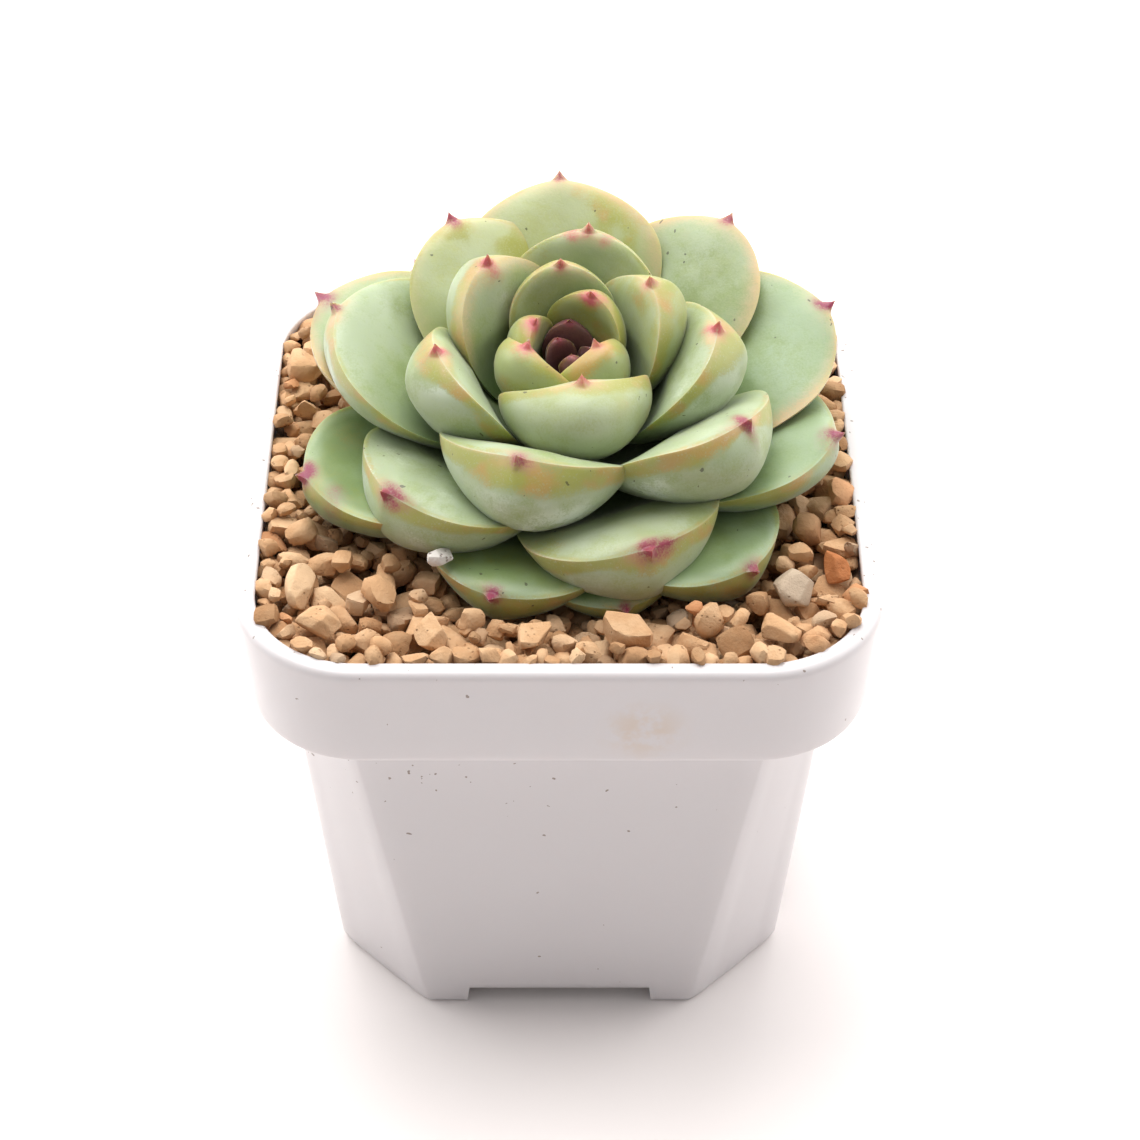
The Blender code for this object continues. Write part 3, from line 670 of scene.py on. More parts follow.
@dataclass
class Pot:
    """Square pot: round-cornered rim band over a body with flat-cut corners."""

    rim_half: float
    rim_height: float
    corner: float = 14.0 * MM
    band_depth: float = 14.2 * MM
    band_taper: float = 1.0 * MM
    band_step: float = 4.5 * MM
    wall: float = 1.8 * MM
    draft: float = 3.3 * MM
    top_cut: float = 7.0 * MM
    base_cut: float = 11.2 * MM
    foot: float = 2.6 * MM
    notch: float = 22.4 * MM
    drain: float = 6.0 * MM
    corner_points: int = 22
    finish: PotPlastic = PotPlastic()

    @property
    def mouth(self) -> float:
        """Half-width of the opening at the rim."""
        return self.rim_half - self.wall

    @property
    def band_low(self) -> float:
        """Height of the band's lower edge."""
        return self.rim_height - self.band_depth

    @property
    def body_base(self) -> float:
        """Half-width of the body at the ground."""
        return self.rim_half - self.band_taper - self.band_step - self.draft

    def outline(self, half: float, cut: float, rounding: float) -> np.ndarray:
        """Square outline with cut corners, as (points, 2).

        Each side is straight and each corner blends a straight cut with a
        quarter circle by the rounding.  Points gather at the foot notch.
        """
        reach, edge, slit = half - cut, self.notch / 2, 0.15 * MM
        run = [np.linspace(-reach, -edge - slit, 5), np.linspace(-edge + slit, edge - slit, 13)]
        run = np.concatenate(run + [np.linspace(edge + slit, reach, 5)])
        side = np.stack([np.full_like(run, half), run], -1)
        turn = np.linspace(0.0, 1.0, self.corner_points)[1:-1]
        arc = np.stack([np.cos(turn * np.pi / 2), np.sin(turn * np.pi / 2)], -1)
        soft = np.stack([1.0 - turn, turn], -1)
        bevel = 4 * np.minimum(turn, 1 - turn)[:, None]
        soft = soft + 0.05 * np.clip(1 - bevel, 0, 1) * (arc - soft) / 0.2
        bend = reach + cut * (rounding * arc + (1.0 - rounding) * soft)
        quarter = np.concatenate([side, bend])
        turns = []
        for k in range(4):
            c, s = round(math.cos(k * math.pi / 2)), round(math.sin(k * math.pi / 2))
            turns.append(quarter @ np.array([[c, s], [-s, c]]))
        return np.concatenate(turns)

    def ring(
        self, half: float, cut: float, z: float, rounding: float = 1.0, notched: bool = False
    ) -> np.ndarray:
        """Outline at a height; a notched ring rises over the gaps between the feet."""
        flat = self.outline(half, cut, rounding)
        height = np.full(len(flat), z)
        if notched:
            gap = np.minimum(np.abs(flat[:, 0]), np.abs(flat[:, 1])) < self.notch / 2
            height[gap] = self.foot + 0.25 * z
        return np.concatenate([flat, height[:, None]], -1)

    def rim(self, half: float, z: float) -> np.ndarray:
        """Round-cornered outline of the band."""
        return self.ring(half, self.corner - (self.rim_half - half), z)

    def body(self, inset: float, z: float, rounding: float = 0.2, notched: bool = False) -> np.ndarray:
        """Cut-cornered outline of the body at a height."""
        share = z / self.band_low
        half = self.body_base + self.draft * share - inset
        cut = self.base_cut + (self.top_cut - self.base_cut) * share - 0.5 * inset
        return self.ring(half, cut, z, rounding, notched)

    def circle(self, radius: float, z: float) -> np.ndarray:
        """Circle whose points line up with the square outlines."""
        flat = self.outline(self.body_base, self.base_cut, 0.5)
        angle = np.arctan2(flat[:, 1], flat[:, 0])
        return np.stack([radius * np.cos(angle), radius * np.sin(angle), np.full_like(angle, z)], -1)

    def lip(
        self, half: float, z: float, out: float, up: float, start: float, end: float, steps: int
    ) -> list[np.ndarray]:
        """Rings round a moulded edge: a quarter ellipse from one angle to another."""
        angles = np.radians(np.linspace(start, end, steps))
        return [self.rim(half + out * math.cos(a), z + up * math.sin(a)) for a in angles]

    def build(self) -> None:
        """Skins the rings from the drain hole up the inside, over the rim and down."""
        low, shelf, floor = self.band_low, self.band_low + self.wall, self.foot + self.wall
        band = self.rim_half - self.band_taper
        rings = [
            self.circle(self.drain, floor),
            self.body(self.wall + 1.4 * MM, floor),
            self.body(self.wall, floor + 2.5 * MM),
            self.body(self.wall, shelf, 0.35),
            self.rim(band - self.wall, shelf + 1.2 * MM),
            self.rim(self.mouth - 0.1 * MM, self.rim_height - 3.0 * MM),
        ]
        rings += self.lip(self.mouth - 0.1 * MM, self.rim_height - 0.3 * MM, 0.3 * MM, 0.3 * MM, 180, 90, 5)
        rings += self.lip(self.rim_half - 0.95 * MM, self.rim_height - MM, 0.95 * MM, MM, 90, 0, 10)
        rings += [
            self.rim(self.rim_half - 0.06 * MM, self.rim_height - 2.0 * MM),
            self.rim(band + 0.5 * self.band_taper, self.rim_height - 0.5 * self.band_depth),
            self.rim(band + 0.1 * MM, low + 1.4 * MM),
        ]
        rings += self.lip(band - 0.7 * MM, low + 0.8 * MM, 0.72 * MM, 0.8 * MM, 0, -90, 6)
        rings += [
            self.body(-1.2 * MM, low, 0.4),
            self.body(-0.45 * MM, low - 0.02 * MM, 0.36),
            self.body(-0.12 * MM, low - 0.3 * MM, 0.3),
            self.body(0.0, low - 0.9 * MM, 0.26),
            self.body(0.0, 0.75 * low, 0.2),
            self.body(0.0, 0.5 * low, 0.16),
            self.body(0.0, 0.25 * low, 0.12),
            self.body(0.0, 4.0 * MM, 0.12),
            self.body(0.02 * MM, 0.9 * MM, 0.12, True),
            self.body(0.22 * MM, 0.25 * MM, 0.12, True),
            self.body(0.6 * MM, 0.0, 0.12, True),
            self.body(1.2 * MM, 0.0, 0.12, True),
            self.body(1.65 * MM, 0.2 * MM, 0.12, True),
            self.body(self.wall, 0.8 * MM, 0.12, True),
            self.body(self.wall + 0.1 * MM, self.foot + 0.4 * MM, 0.12),
            self.circle(self.drain + 0.3 * MM, self.foot + 0.4 * MM),
            self.circle(self.drain, self.foot + 0.7 * MM),
        ]
        shell = Shell.from_rings(np.stack(rings), None, None)
        smudge = (0.26 * self.rim_half, -self.rim_half + 0.6 * MM, self.band_low + 0.38 * self.band_depth)
        material = self.finish.build(smudge, self.band_low, self.rim_height)
        finish_piece(shell.build("pot_shell", material, 50.0), "pot_white", "pot")


# ---- Leaves ----


class Leaf(NamedTuple):
    """Shape of one leaf; lengths in plant units, angles in degrees.

    The first letter of name is the leaf's ring, from a outside to e inside.
    azimuth is 0 at the front and grows towards +X.  out and low place the
    root: how far it sits outside the stem, and its height from the rim.
    reach and height place the tip.  bend is the midline's upward curl,
    hollow the radius the blade is rolled on across its width, and roll a
    turn about its own midline.
    """

    name: str
    azimuth: float
    out: float
    low: float
    reach: float
    height: float
    width: float
    thick: float
    bend: float
    hollow: float
    roll: float = 0.0


LEAVES = (
    Leaf("e6", 20, -2.6, 10.5, 1, 15.5, 3, 1.2, 10, 3),
    Leaf("e5", -150, -2.3, 10, 2.3, 15.5, 4.2, 1.4, 25, 3),
    Leaf("e4", 105, -2.1, 9.5, 2.8, 15, 4.6, 1.6, 30, 4),
    Leaf("e3", -40, -1.7, 9, 3.4, 15, 5.4, 1.8, 35, 4),
    Leaf("e2", 178, -1.5, 8.5, 4, 16.5, 6.5, 2, 35, 5),
    Leaf("e1", 55, -1.3, 8, 4.2, 15.5, 6.5, 2.2, 40, 5),
    Leaf("d4", -105, -0.5, 7.5, 3.9, 18.6, 10, 2.8, 55, 6),
    Leaf("d3", 146, -0.5, 7.5, 4.6, 20.2, 12, 3, 50, 7),
    Leaf("d2", 46, -0.5, 7, 4.4, 18.4, 12, 3.2, 55, 7),
    Leaf("d1", -48, -0.5, 7, 6.0, 19.0, 13, 3.4, 55, 8),
    Leaf("c7", -174, 0, 6.5, 8, 21.5, 14, 3.6, 50, 8),
    Leaf("c6", 9, 0.5, 5.5, 9.5, 18.1, 20, 6.4, 56, 11, 3),
    Leaf("c5", 115, 0.5, 6, 10.2, 21.6, 15, 5.2, 50, 11),
    Leaf("c4", 170, 0.5, 5.5, 13.5, 22.5, 20, 4.6, 45, 13),
    Leaf("c3", -130, 0.5, 5, 11.8, 22.1, 17, 5.8, 50, 13),
    Leaf("c2", 87, 0.5, 5, 16.6, 19.1, 20, 6.6, 52, 18),
    Leaf("c1", -72, 0.5, 5, 15.3, 18.9, 19, 6.4, 52, 18),
    Leaf("b8", -17, 0.5, 4, 19.2, 14.3, 23, 7.6, 48, 24),
    Leaf("b1", -178, 0.5, 3, 27, 20.5, 24, 6.0, 25, 26),
    Leaf("b3", -146, 0.5, 2.5, 24.4, 19.2, 21, 6.0, 25, 24),
    Leaf("b2", 139, 0.5, 2.5, 29, 18, 21, 6.2, 25, 24, 4),
    Leaf("b7", 57, 0.5, 2.5, 23.4, 14.9, 23, 7.4, 36, 26, -10),
    Leaf("b4", -105, 0.5, 2, 27.6, 15.9, 25, 6.8, 32, 26),
    Leaf("b5", -51, 0.5, 1.5, 25.9, 8.0, 24, 7.6, 38, 28),
    Leaf("b6", 20, 0.5, 1, 25.8, 6.3, 24, 7.6, 40, 30, 4),
    Leaf("a7", 110, 0.5, 1.5, 32.2, 13.5, 24, 6.0, 15, 28, 12),
    Leaf("a6", -116, 0.5, 0.5, 32.2, 12.4, 25, 5.8, 15, 30),
    Leaf("a4", 79, 0.5, 0, 31, 7.8, 23, 6.2, 22, 30),
    Leaf("a8", -147, 0.5, 0, 33.5, 7, 20, 5.6, 20, 30),
    Leaf("a9", 150, 0.5, 0, 31, 6, 20, 5, 20, 30),
    Leaf("a2", -73, 0.5, -0.5, 31.3, 4.4, 24, 6.2, 24, 30),
    Leaf("a3", 43, 0.5, -1, 30, 1.5, 22, 6.0, 22, 30),
    Leaf("a1", -18, 0.5, -0.4, 27.3, 1.2, 22, 5.6, 28, 32),
    Leaf("a10", 178, 0.5, -1, 30, 3, 20, 5, 20, 30),
    Leaf("a5", 14, 0.5, -2, 26, -1.2, 20, 4.4, 10, 30),
)


class Patch(NamedTuple):
    """Patch of blush: place back from the tip and across, size, strength."""

    leaf: str
    back: float
    across: float
    long: float
    wide: float
    strength: float


PATCHES = (
    Patch("b6", 0.35, 1.6, 0.5, 3.3, 1.35),
    Patch("b6", 0.8, 7.0, 0.8, 4.0, 0.4),
    Patch("b5", 0.35, 0.8, 0.55, 2.2, 1.2),
    Patch("b5", 0.8, 4.5, 0.6, 4.5, 0.4),
    Patch("b8", 0.4, 0.8, 0.8, 2.2, 0.5),
    Patch("b7", 0.4, 0.0, 1.3, 1.0, 0.9),
    Patch("b7", 0.7, -3.5, 0.8, 4.0, 0.35),
    Patch("a1", 0.7, 0.3, 0.9, 2.4, 0.6),
    Patch("a2", 0.5, -0.6, 1.0, 2.2, 1.1),
    Patch("a2", 2.2, 4.8, 1.4, 2.0, 0.9),
    Patch("a3", 0.6, 0.5, 0.9, 2.0, 0.5),
    Patch("a4", 0.8, -1.4, 1.3, 2.2, 0.75),
    Patch("a7", 0.6, 0.6, 1.0, 1.6, 0.9),
    Patch("a6", 1.0, 3.0, 1.2, 7.0, 0.5),
    Patch("a6", 0.6, 0.0, 1.0, 1.4, 1.0),
    Patch("a8", 0.8, 0.0, 1.6, 4.0, 0.8),
    Patch("b2", 0.5, 0.0, 0.9, 1.6, 0.5),
    Patch("b3", 0.5, 0.0, 0.9, 1.2, 0.6),
    Patch("c3", 1.0, 0.2, 1.4, 1.3, 0.7),
    Patch("c4", 0.5, -2.3, 0.9, 0.9, 1.0),
    Patch("c4", 0.5, 2.1, 0.9, 1.1, 1.0),
    Patch("c6", 0.5, 1.5, 0.6, 3.0, 0.5),
    Patch("c2", 0.8, 0.0, 1.2, 1.2, 0.6),
    Patch("c1", 0.6, 0.2, 1.1, 0.9, 0.6),
    Patch("d1", 0.4, 0.0, 0.8, 1.6, 0.8),
    Patch("d4", 0.4, 0.0, 0.7, 2.4, 0.9),
    Patch("d3", 0.4, 0.0, 0.7, 2.8, 0.9),
)


class Mood(NamedTuple):
    """A leaf's cast: its own yellowing, painted shade where other leaves shade it, and its own peach along
    the margin.
    """

    warm: float = 0.12
    # darkness painted on a leaf that lies in the shade of the leaves above: painted shade
    painted_shade: float = 0.0
    flush: float = 0.15


MOODS = {
    "a1": Mood(0.25, 0.62),
    "a2": Mood(0.2, 0.6, 0.3),
    "a3": Mood(0.15, 0.5),
    "a4": Mood(0.1, 0.3),
    # a5 lies in the gap between its neighbours and the gravel, painted almost wholly in shade
    "a5": Mood(0.0, 0.95),
    "a6": Mood(0.25, 0.0, 0.9),
    "a7": Mood(0.12, 0.12, 0.75),
    "b1": Mood(0.6, 0.0, 0.85),
    "b2": Mood(0.12, 0.0, 0.8),
    "b3": Mood(0.65, 0.05, 0.6),
    "b4": Mood(0.1, 0.14, 0.3),
    "b5": Mood(0.12, 0.0, 0.3),
    "b6": Mood(0.3, 0.0),
    "b7": Mood(0.15, 0.0),
    "c3": Mood(0.2, 0.0, 0.7),
    "c4": Mood(0.4, 0.3, 0.2),
    "c5": Mood(0.4, 0.12, 0.3),
    "c6": Mood(0.4, 0.0, 0.3),
    "c7": Mood(0.4, 0.3),
    "d1": Mood(0.5, 0.1),
    "d2": Mood(0.35, 0.0),
    "d3": Mood(0.5, 0.45),
    "d4": Mood(0.6, 0.2),
}


@dataclass(frozen=True)
class Colouring:
    """How strongly each zone shows on a ring of leaves."""

    finish: WaxyLeaf
    slot: str
    deep: float
    olive: float
    tan: float
    bloom: float
    stations: int = 84
    around: int = 88
    crumple: float = PLAIN_CRUMPLE


@dataclass
class Rosette:
    """The leaves, from the dark heart out to the ring lying on the gravel."""

    unit: float
    rim_height: float
    centre: tuple[float, float]
    stem_radius: float = 3.5 * MM
    point: float = 1.15
    shells: list[tuple[Leaf, Shell]] = field(default_factory=list)

    def midline(self, leaf: Leaf, s: np.ndarray) -> tuple[np.ndarray, np.ndarray, np.ndarray, float]:
        """Arc from root to tip in the leaf's own upright plane.

        Args:
            leaf: The leaf.
            s: Stations, 0 at the root to 1 at the tip.

        Returns:
            Distance out, height and slope at each station, and the arc's length.
        """
        root = self.stem_radius / self.unit + leaf.out
        run, lift = leaf.reach - root, leaf.height - leaf.low
        slope, half = math.atan2(lift, run), math.radians(leaf.bend) / 2
        radius = math.hypot(run, lift) / (2 * math.sin(half))
        tilt = slope - half + 2 * half * s
        r = root + radius * (np.sin(tilt) - math.sin(slope - half))
        z = leaf.low - radius * (np.cos(tilt) - math.cos(slope - half))
        return r, z, tilt, radius * 2 * half

    @staticmethod
    def half_width(s: np.ndarray) -> np.ndarray:
        """Outline: quarter sine up to the widest station, then a blunt rounded end."""
        peak = 0.6
        rise = 0.36 + 0.64 * np.sin(np.pi / 2 * np.clip(s / peak, 0.0, 1.0))
        fall = np.clip(1 - np.clip((s - peak) / (1 - peak), 0.0, 1.0) ** 2.5, 0.0, 1.0) ** 0.66
        return np.where(s < peak, rise, fall)

    @staticmethod
    def fatness(s: np.ndarray) -> np.ndarray:
        """Thickness: thin root, full blade, and an end that stays thick and rounds off."""
        rise = np.minimum(1.0, 0.34 + 1.1 * s)
        return rise * np.clip(1 - np.clip((s - 0.5) / 0.5, 0.0, 1.0) ** 4.6, 0.0, 1.0) ** 0.5

    def shape(self, leaf: Leaf, look: Colouring, seed: int) -> Shell:
        """Leaf surface with its colour zones.

        The section is a lens: nearly flat above, full below, with a sharp
        margin, rolled up on the hollow radius.  Slow noise lifts and thins
        the skin, and the last stations draw out into a fine point.
        """
        q = np.linspace(0.0, 1.0, look.stations + 1)[:-1]
        s = 1 - (1 - q) ** 2.3
        r, z, tilt, length = self.midline(leaf, s)
        around = np.linspace(0.0, 2 * np.pi, look.around, endpoint=False)
        u, side = np.cos(around)[None], np.sin(around)[None]
        half = leaf.width / 2 * self.half_width(s)[:, None]
        grid = np.stack(np.broadcast_arrays(s[:, None] * length, u * half, side * 3.0), -1)
        wave = lattice_noise(grid, 7.0, seed)
        ripple = lattice_noise(grid, min(2.6, 0.3 * leaf.width), seed + 50)
        across = u * half * (1 + 0.03 * wave + 0.6 * (look.crumple - PLAIN_CRUMPLE) * ripple)
        keel = 0.08 * bell(u, 0.35) * smooth(s, 0.35, 0.8)[:, None]
        upper = (0.12 + 0.22 * smooth(s, 0.3, 0.65)[:, None]) * side**2
        lower = -(0.78 + keel) * np.abs(side) ** 1.9
        depth = np.where(side > 0, upper, lower) * leaf.thick * self.fatness(s)[:, None]
        depth = depth * (1 + 0.06 * wave + look.crumple * ripple)
        bow = across / leaf.hollow
        lx = leaf.hollow * np.sin(bow) - depth * np.sin(bow)
        lz = leaf.hollow * (1 - np.cos(bow)) + depth * np.cos(bow)
        lz = lz + 0.35 * lattice_noise(grid[..., :2] @ np.eye(2, 3), 9.0, seed + 90) * (u**2)
        roll = math.radians(leaf.roll)
        lx, lz = lx * math.cos(roll) - lz * math.sin(roll), lx * math.sin(roll) + lz * math.cos(roll)
        size = np.hypot(half, leaf.thick * self.fatness(s)[:, None] * 0.5)
        spike = self.point * min(1.0, leaf.width / 16)
        draw = spike * np.clip(1 - size / (1.1 * spike), 0.0, 1.0) ** 1.4
        out = r[:, None] - lz * np.sin(tilt)[:, None] + draw * np.cos(tilt)[:, None]
        up = z[:, None] + lz * np.cos(tilt)[:, None] + draw * np.sin(tilt)[:, None]
        points = self.placed(leaf, out, lx, up)
        end = points[-1].mean(0) + (points[-1].mean(0) - points[-3].mean(0)) * 0.6
        shell = Shell.from_rings(points, points[0].mean(0), end)
        self.paint(leaf, look, shell, s, u, side, half, length, seed)
        return shell

    def placed(self, leaf: Leaf, out: np.ndarray, lx: np.ndarray, up: np.ndarray) -> np.ndarray:
        """Turns leaf coordinates to its azimuth about the rosette's axis, in metres."""
        azimuth = math.radians(leaf.azimuth)
        x = self.centre[0] + self.unit * (out * math.sin(azimuth) + lx * math.cos(azimuth))
        y = self.centre[1] + self.unit * (-out * math.cos(azimuth) + lx * math.sin(azimuth))
        return np.stack([x, y, self.rim_height + self.unit * up], -1)

    @staticmethod
    def paint(
        leaf: Leaf,
        look: Colouring,
        shell: Shell,
        s: np.ndarray,
        u: np.ndarray,
        side: np.ndarray,
        half: np.ndarray,
        length: float,
        seed: int,
    ) -> None:
        """Works out the colour zones of a leaf.

        deep fades in towards the root, the base's deeper green with painted
        shade where the leaves overlap, and takes the mood's painted shade; tan
        and the mood's flush follow the margin, olive lies just below it, mostly
        on the outer face, blush rings the tip and fills the leaf's own patches,
        bloom covers the rest unevenly with a whiter margin of bloom and painted
        highlight, and warm is the yellowing.
        """

        def veil(cell: float, shift: int) -> np.ndarray:
            """Noise from 0 to 1 over the leaf."""
            return 0.5 + 0.5 * lattice_noise(grid, cell, seed + shift)

        s = s[:, None]
        back, across = (1 - s) * length, u * half
        drop = np.where(side < 0, 0.8 * np.abs(side) ** 1.9, 0.3 * side**2)
        drop = drop * leaf.thick * Rosette.fatness(s)
        inward = np.minimum(half * (1 - np.abs(u)) * 1.1, back * 0.95)
        margin = np.hypot(inward, drop)
        tip = np.hypot(np.hypot(back, across), drop)
        grid = np.stack(np.broadcast_arrays(back, across, side * 4.0 + seed), -1)
        cloud = veil(4.5, 7)
        fine = veil(1.7, 8)
        near = smooth(s, 0.25, 0.7)
        mood = MOODS.get(leaf.name, Mood())
        patchy = veil(6.5, 9)
        tan = 0.75 * look.tan * bell(margin, 0.4) * near * (0.15 + 0.7 * patchy)
        flank = look.tan * bell(across, 5.0) * bell(margin, 1.5) * (0.25 + 0.7 * fine)
        flush = mood.flush * bell(margin, 2.4) * near * (0.45 + 0.55 * patchy)
        tan = np.maximum(np.maximum(tan, flank), flush)
        # whiter margin: part bloom, part painted highlight of the backlit margins
        rime_and_highlight = bell(margin, 0.4) * near * (0.35 + 0.65 * cloud) * look.bloom * (1 - mood.flush)
        wide = 0.45 + 3.6 * patchy
        outer, inner = smooth(margin, 1.5 * wide, 0.2 * wide), 0.35 * smooth(margin, 0.7 * wide, 0.1)
        belt = np.where(side < 0, outer, inner)
        olive = look.olive * belt * near * (0.3 + 0.7 * smooth(cloud + 0.4 * fine, 0.3, 0.95))
        olive = np.maximum(olive, mood.warm * 0.75 * near * smooth(patchy + 0.3 * fine, 0.55, 0.95))
        # deep near the root: the base's deeper green, with painted shade where the leaves overlap
        shaded = np.where(side > 0, smooth(s, 0.85, 0.25), smooth(s, 0.6, 0.1))
        deep = look.deep * shaded * (0.45 + 0.7 * cloud)
        # painted shade on leaves that lie under others, away from the margin
        deep = np.maximum(deep, mood.painted_shade * (0.55 + 0.45 * fine) * smooth(margin, 0.6, 2.6))
        halo = 0.24 * bell(tip, 1.6) + 0.5 * bell(tip, 0.7)
        for patch in PATCHES:
            if patch.leaf == leaf.name:
                spot = ((back - patch.back) / patch.long) ** 2 + ((across - patch.across) / patch.wide) ** 2
                spot = spot + (drop / (1.6 * patch.long + 0.8)) ** 2
                halo = halo + 0.62 * patch.strength * np.exp(-spot) * (0.35 + 0.85 * fine)
        bloom = look.bloom * (0.35 + 0.75 * cloud) * (1 - 0.6 * deep) * (1 - 0.4 * tan)
        bloom = bloom * np.where(side > 0, 0.85, 1.0)
        bloom = bloom * (1 - 0.95 * mood.warm * (0.35 + 0.65 * patchy)) + 0.6 * rime_and_highlight
        olive = olive * (1 - 0.7 * rime_and_highlight)
        warm = mood.warm * (0.6 + 0.5 * cloud)
        for name, masks in (("flesh", (deep, olive, tan)), ("skin", (halo, bloom, warm))):
            zone = np.stack(np.broadcast_arrays(*masks), -1).reshape(-1, 3)
            shell.zones[name] = np.clip(np.concatenate([zone, zone[:1], zone[-1:]]), 0, 1)

    def build(self) -> None:
        """Makes every leaf and puts each in place of its CAD node."""
        lower = WaxyLeaf(
            "leaf_lower", body=(0.20, 0.30, 0.11), bloom=(0.44, 0.56, 0.42), blush=(0.26, 0.035, 0.08)
        )
        new = WaxyLeaf(
            "leaf_new",
            bloom=(0.42, 0.50, 0.30),
            tan=(0.6, 0.30, 0.16),
            blush=(0.5, 0.12, 0.13),
            bloom_amount=0.7,
        )
        bud = WaxyLeaf(
            "leaf_bud",
            body=(0.13, 0.045, 0.05),
            bloom=(0.30, 0.17, 0.17),
            deep=(0.035, 0.012, 0.012),
            olive=(0.13, 0.06, 0.03),
            warm=(0.12, 0.06, 0.02),
            tan=(0.36, 0.14, 0.13),
            blush=(0.30, 0.06, 0.09),
        )
        upper = WaxyLeaf("leaf_upper", blush=(0.48, 0.11, 0.115))
        looks = {
            "a": Colouring(lower, "leaf_outer", 0.95, 0.9, 0.6, 0.9),
            "b": Colouring(WaxyLeaf("leaf_mid"), "leaf_middle", 0.95, 1.0, 0.95, 1.0),
            "c": Colouring(upper, "leaf_inner", 0.95, 1.0, 1.0, 1.0),
            "d": Colouring(new, "leaf_young", 0.6, 1.0, 0.8, 0.8, 60, 60),
            "e": Colouring(bud, "leaf_heart", 0.5, 0.3, 0.5, 0.5, 48, 48, 0.2),
        }
        materials = {key: look.finish.build() for key, look in looks.items()}
        for number, leaf in enumerate(LEAVES):
            ring = leaf.name[0]
            shell = self.shape(leaf, looks[ring], 11 * number + 3)
            self.shells.append((leaf, shell))
            piece = shell.build("fleshy_leaf_" + leaf.name, materials[ring])
            finish_piece(piece, looks[ring].slot, "leaf_" + leaf.name)


@dataclass
class Stem:
    """Short woody stem with swollen leaf scars, mostly hidden by the leaves."""

    rosette: Rosette
    bottom: float
    top: float
    finish: DryStem = DryStem()

    def build(self) -> None:
        """A turned column: radius tapers upwards and swells in staggered scars."""
        t = np.linspace(0.0, 1.0, 60)[:, None]
        angle = np.linspace(0.0, 2 * np.pi, 40, endpoint=False)[None]
        z = self.bottom + (self.top - self.bottom) * t
        taper = np.interp(t, [0.0, 0.1, 0.25, 0.6, 0.8, 1.0], [0.55, 0.85, 1.0, 0.97, 0.7, 0.12])
        scars = 0.05 * np.sin(t * 60 + 2 * np.sin(3 * angle))
        radius = self.rosette.stem_radius * taper * (0.93 + scars)
        x = self.rosette.centre[0] + radius * np.cos(angle)
        y = self.rosette.centre[1] + radius * np.sin(angle)
        rings = np.stack(np.broadcast_arrays(x, y, z), -1)
        shell = Shell.from_rings(rings, rings[0].mean(0), rings[-1].mean(0))
        finish_piece(shell.build("woody_stem", self.finish.build()), "stem_tan", "stem")


# ---- Gravel and mix ----


def round_box(points: int) -> tuple[np.ndarray, np.ndarray]:
    """Unit ball from a cube's six square grids, each pushed out to length 1.

    Args:
        points: Cells along each cube edge.

    Returns:
        Points (n, 3) and quads (m, 4), merged at the cube's edges.
    """
    line = np.tan(np.linspace(-1.0, 1.0, points + 1) * np.pi / 4)
    a, b = np.meshgrid(line, line, indexing="ij")
    one = np.ones_like(a)
    sides = [(one, a, b), (-one, b, a), (b, one, a), (a, -one, b), (a, b, one), (b, a, -one)]
    grid = np.stack([np.stack(side, -1) for side in sides])
    flat = grid.reshape(-1, 3)
    index = np.arange(len(flat)).reshape(6, points + 1, points + 1)
    corners = [index[:, :-1, :-1], index[:, 1:, :-1], index[:, 1:, 1:], index[:, :-1, 1:]]
    quads = np.stack(corners, -1).reshape(-1, 4)
    _, first, same = np.unique(np.round(flat, 6), axis=0, return_index=True, return_inverse=True)
    ball = flat[first] / np.linalg.norm(flat[first], axis=1, keepdims=True)
    return ball, same.reshape(-1)[quads]


class Tone(NamedTuple):
    """Colour of one stone: warmth and lightness, 0 to 1."""

    warmth: float
    light: float


STONE_TONES = {
    "stone_cream": Tone(0.35, 0.95),
    "stone_grey": Tone(0.05, 0.5),
    "stone_red": Tone(1.0, 0.3),
    "stone_tan": Tone(0.5, 0.6),
}
STONE_SIZES = (0.85, 1.2, 1.55, 1.9)
STONE_SHARES = (0.2, 0.3, 0.32, 0.18)
STONE_SPANS = ((1.0, 1.5), (0.8, 1.05), (0.65, 0.95))


@dataclass
class Stone:
    """One crushed stone: a ball cut by random planes and stretched."""

    centre: np.ndarray
    half: np.ndarray
    turn: np.ndarray
    tone: Tone
    seed: int
    cells: int = 3

    def shell(self, ball: tuple[np.ndarray, np.ndarray]) -> Shell:
        """Cuts and places the stone.

        The ball swells towards a block, then each of eight planes clips what
        stands beyond it: a point past a plane moves back along its normal.
        Noise then dents it.
        """
        rng = np.random.default_rng(self.seed)
        points, quads = ball
        blocky = rng.uniform(0.15, 0.5)
        points = points / (np.abs(points).max(1, keepdims=True) ** blocky)
        normals = rng.normal(size=(8, 3))
        normals /= np.linalg.norm(normals, axis=1, keepdims=True)
        for normal, reach in zip(normals, rng.uniform(0.5, 0.9, 8)):
            over = np.maximum(points @ normal - reach, 0.0)
            points = points - 0.94 * over[:, None] * normal
        size = np.abs(points).max(0)
        points = points / size * (1 + 0.09 * lattice_noise(points, 0.75, self.seed))[:, None]
        points = (points * self.half) @ self.turn.T + self.centre
        shell = Shell(points, quads, np.zeros((0, 3), int))
        if shell.volume() < 0:
            shell.quads = quads[:, ::-1]
        tone = np.array([self.tone.warmth, self.tone.light, rng.uniform()])
        shell.zones = {"tone": np.broadcast_to(tone, points.shape).copy()}
        return shell


def random_turn(rng: np.random.Generator, lean: float) -> np.ndarray:
    """Turn about the upright by any angle, then a lean about a level axis.

    Args:
        rng: Random source.
        lean: Spread of the lean, in radians.

    Returns:
        A rotation matrix.
    """
    spin = Matrix.Rotation(rng.uniform(0, 2 * math.pi), 3, "Z")
    heading = rng.uniform(0, 2 * math.pi)
    level = Vector((math.cos(heading), math.sin(heading), 0.0))
    tip = Matrix.Rotation(rng.normal() * lean, 3, level)
    return np.array(tip @ spin)


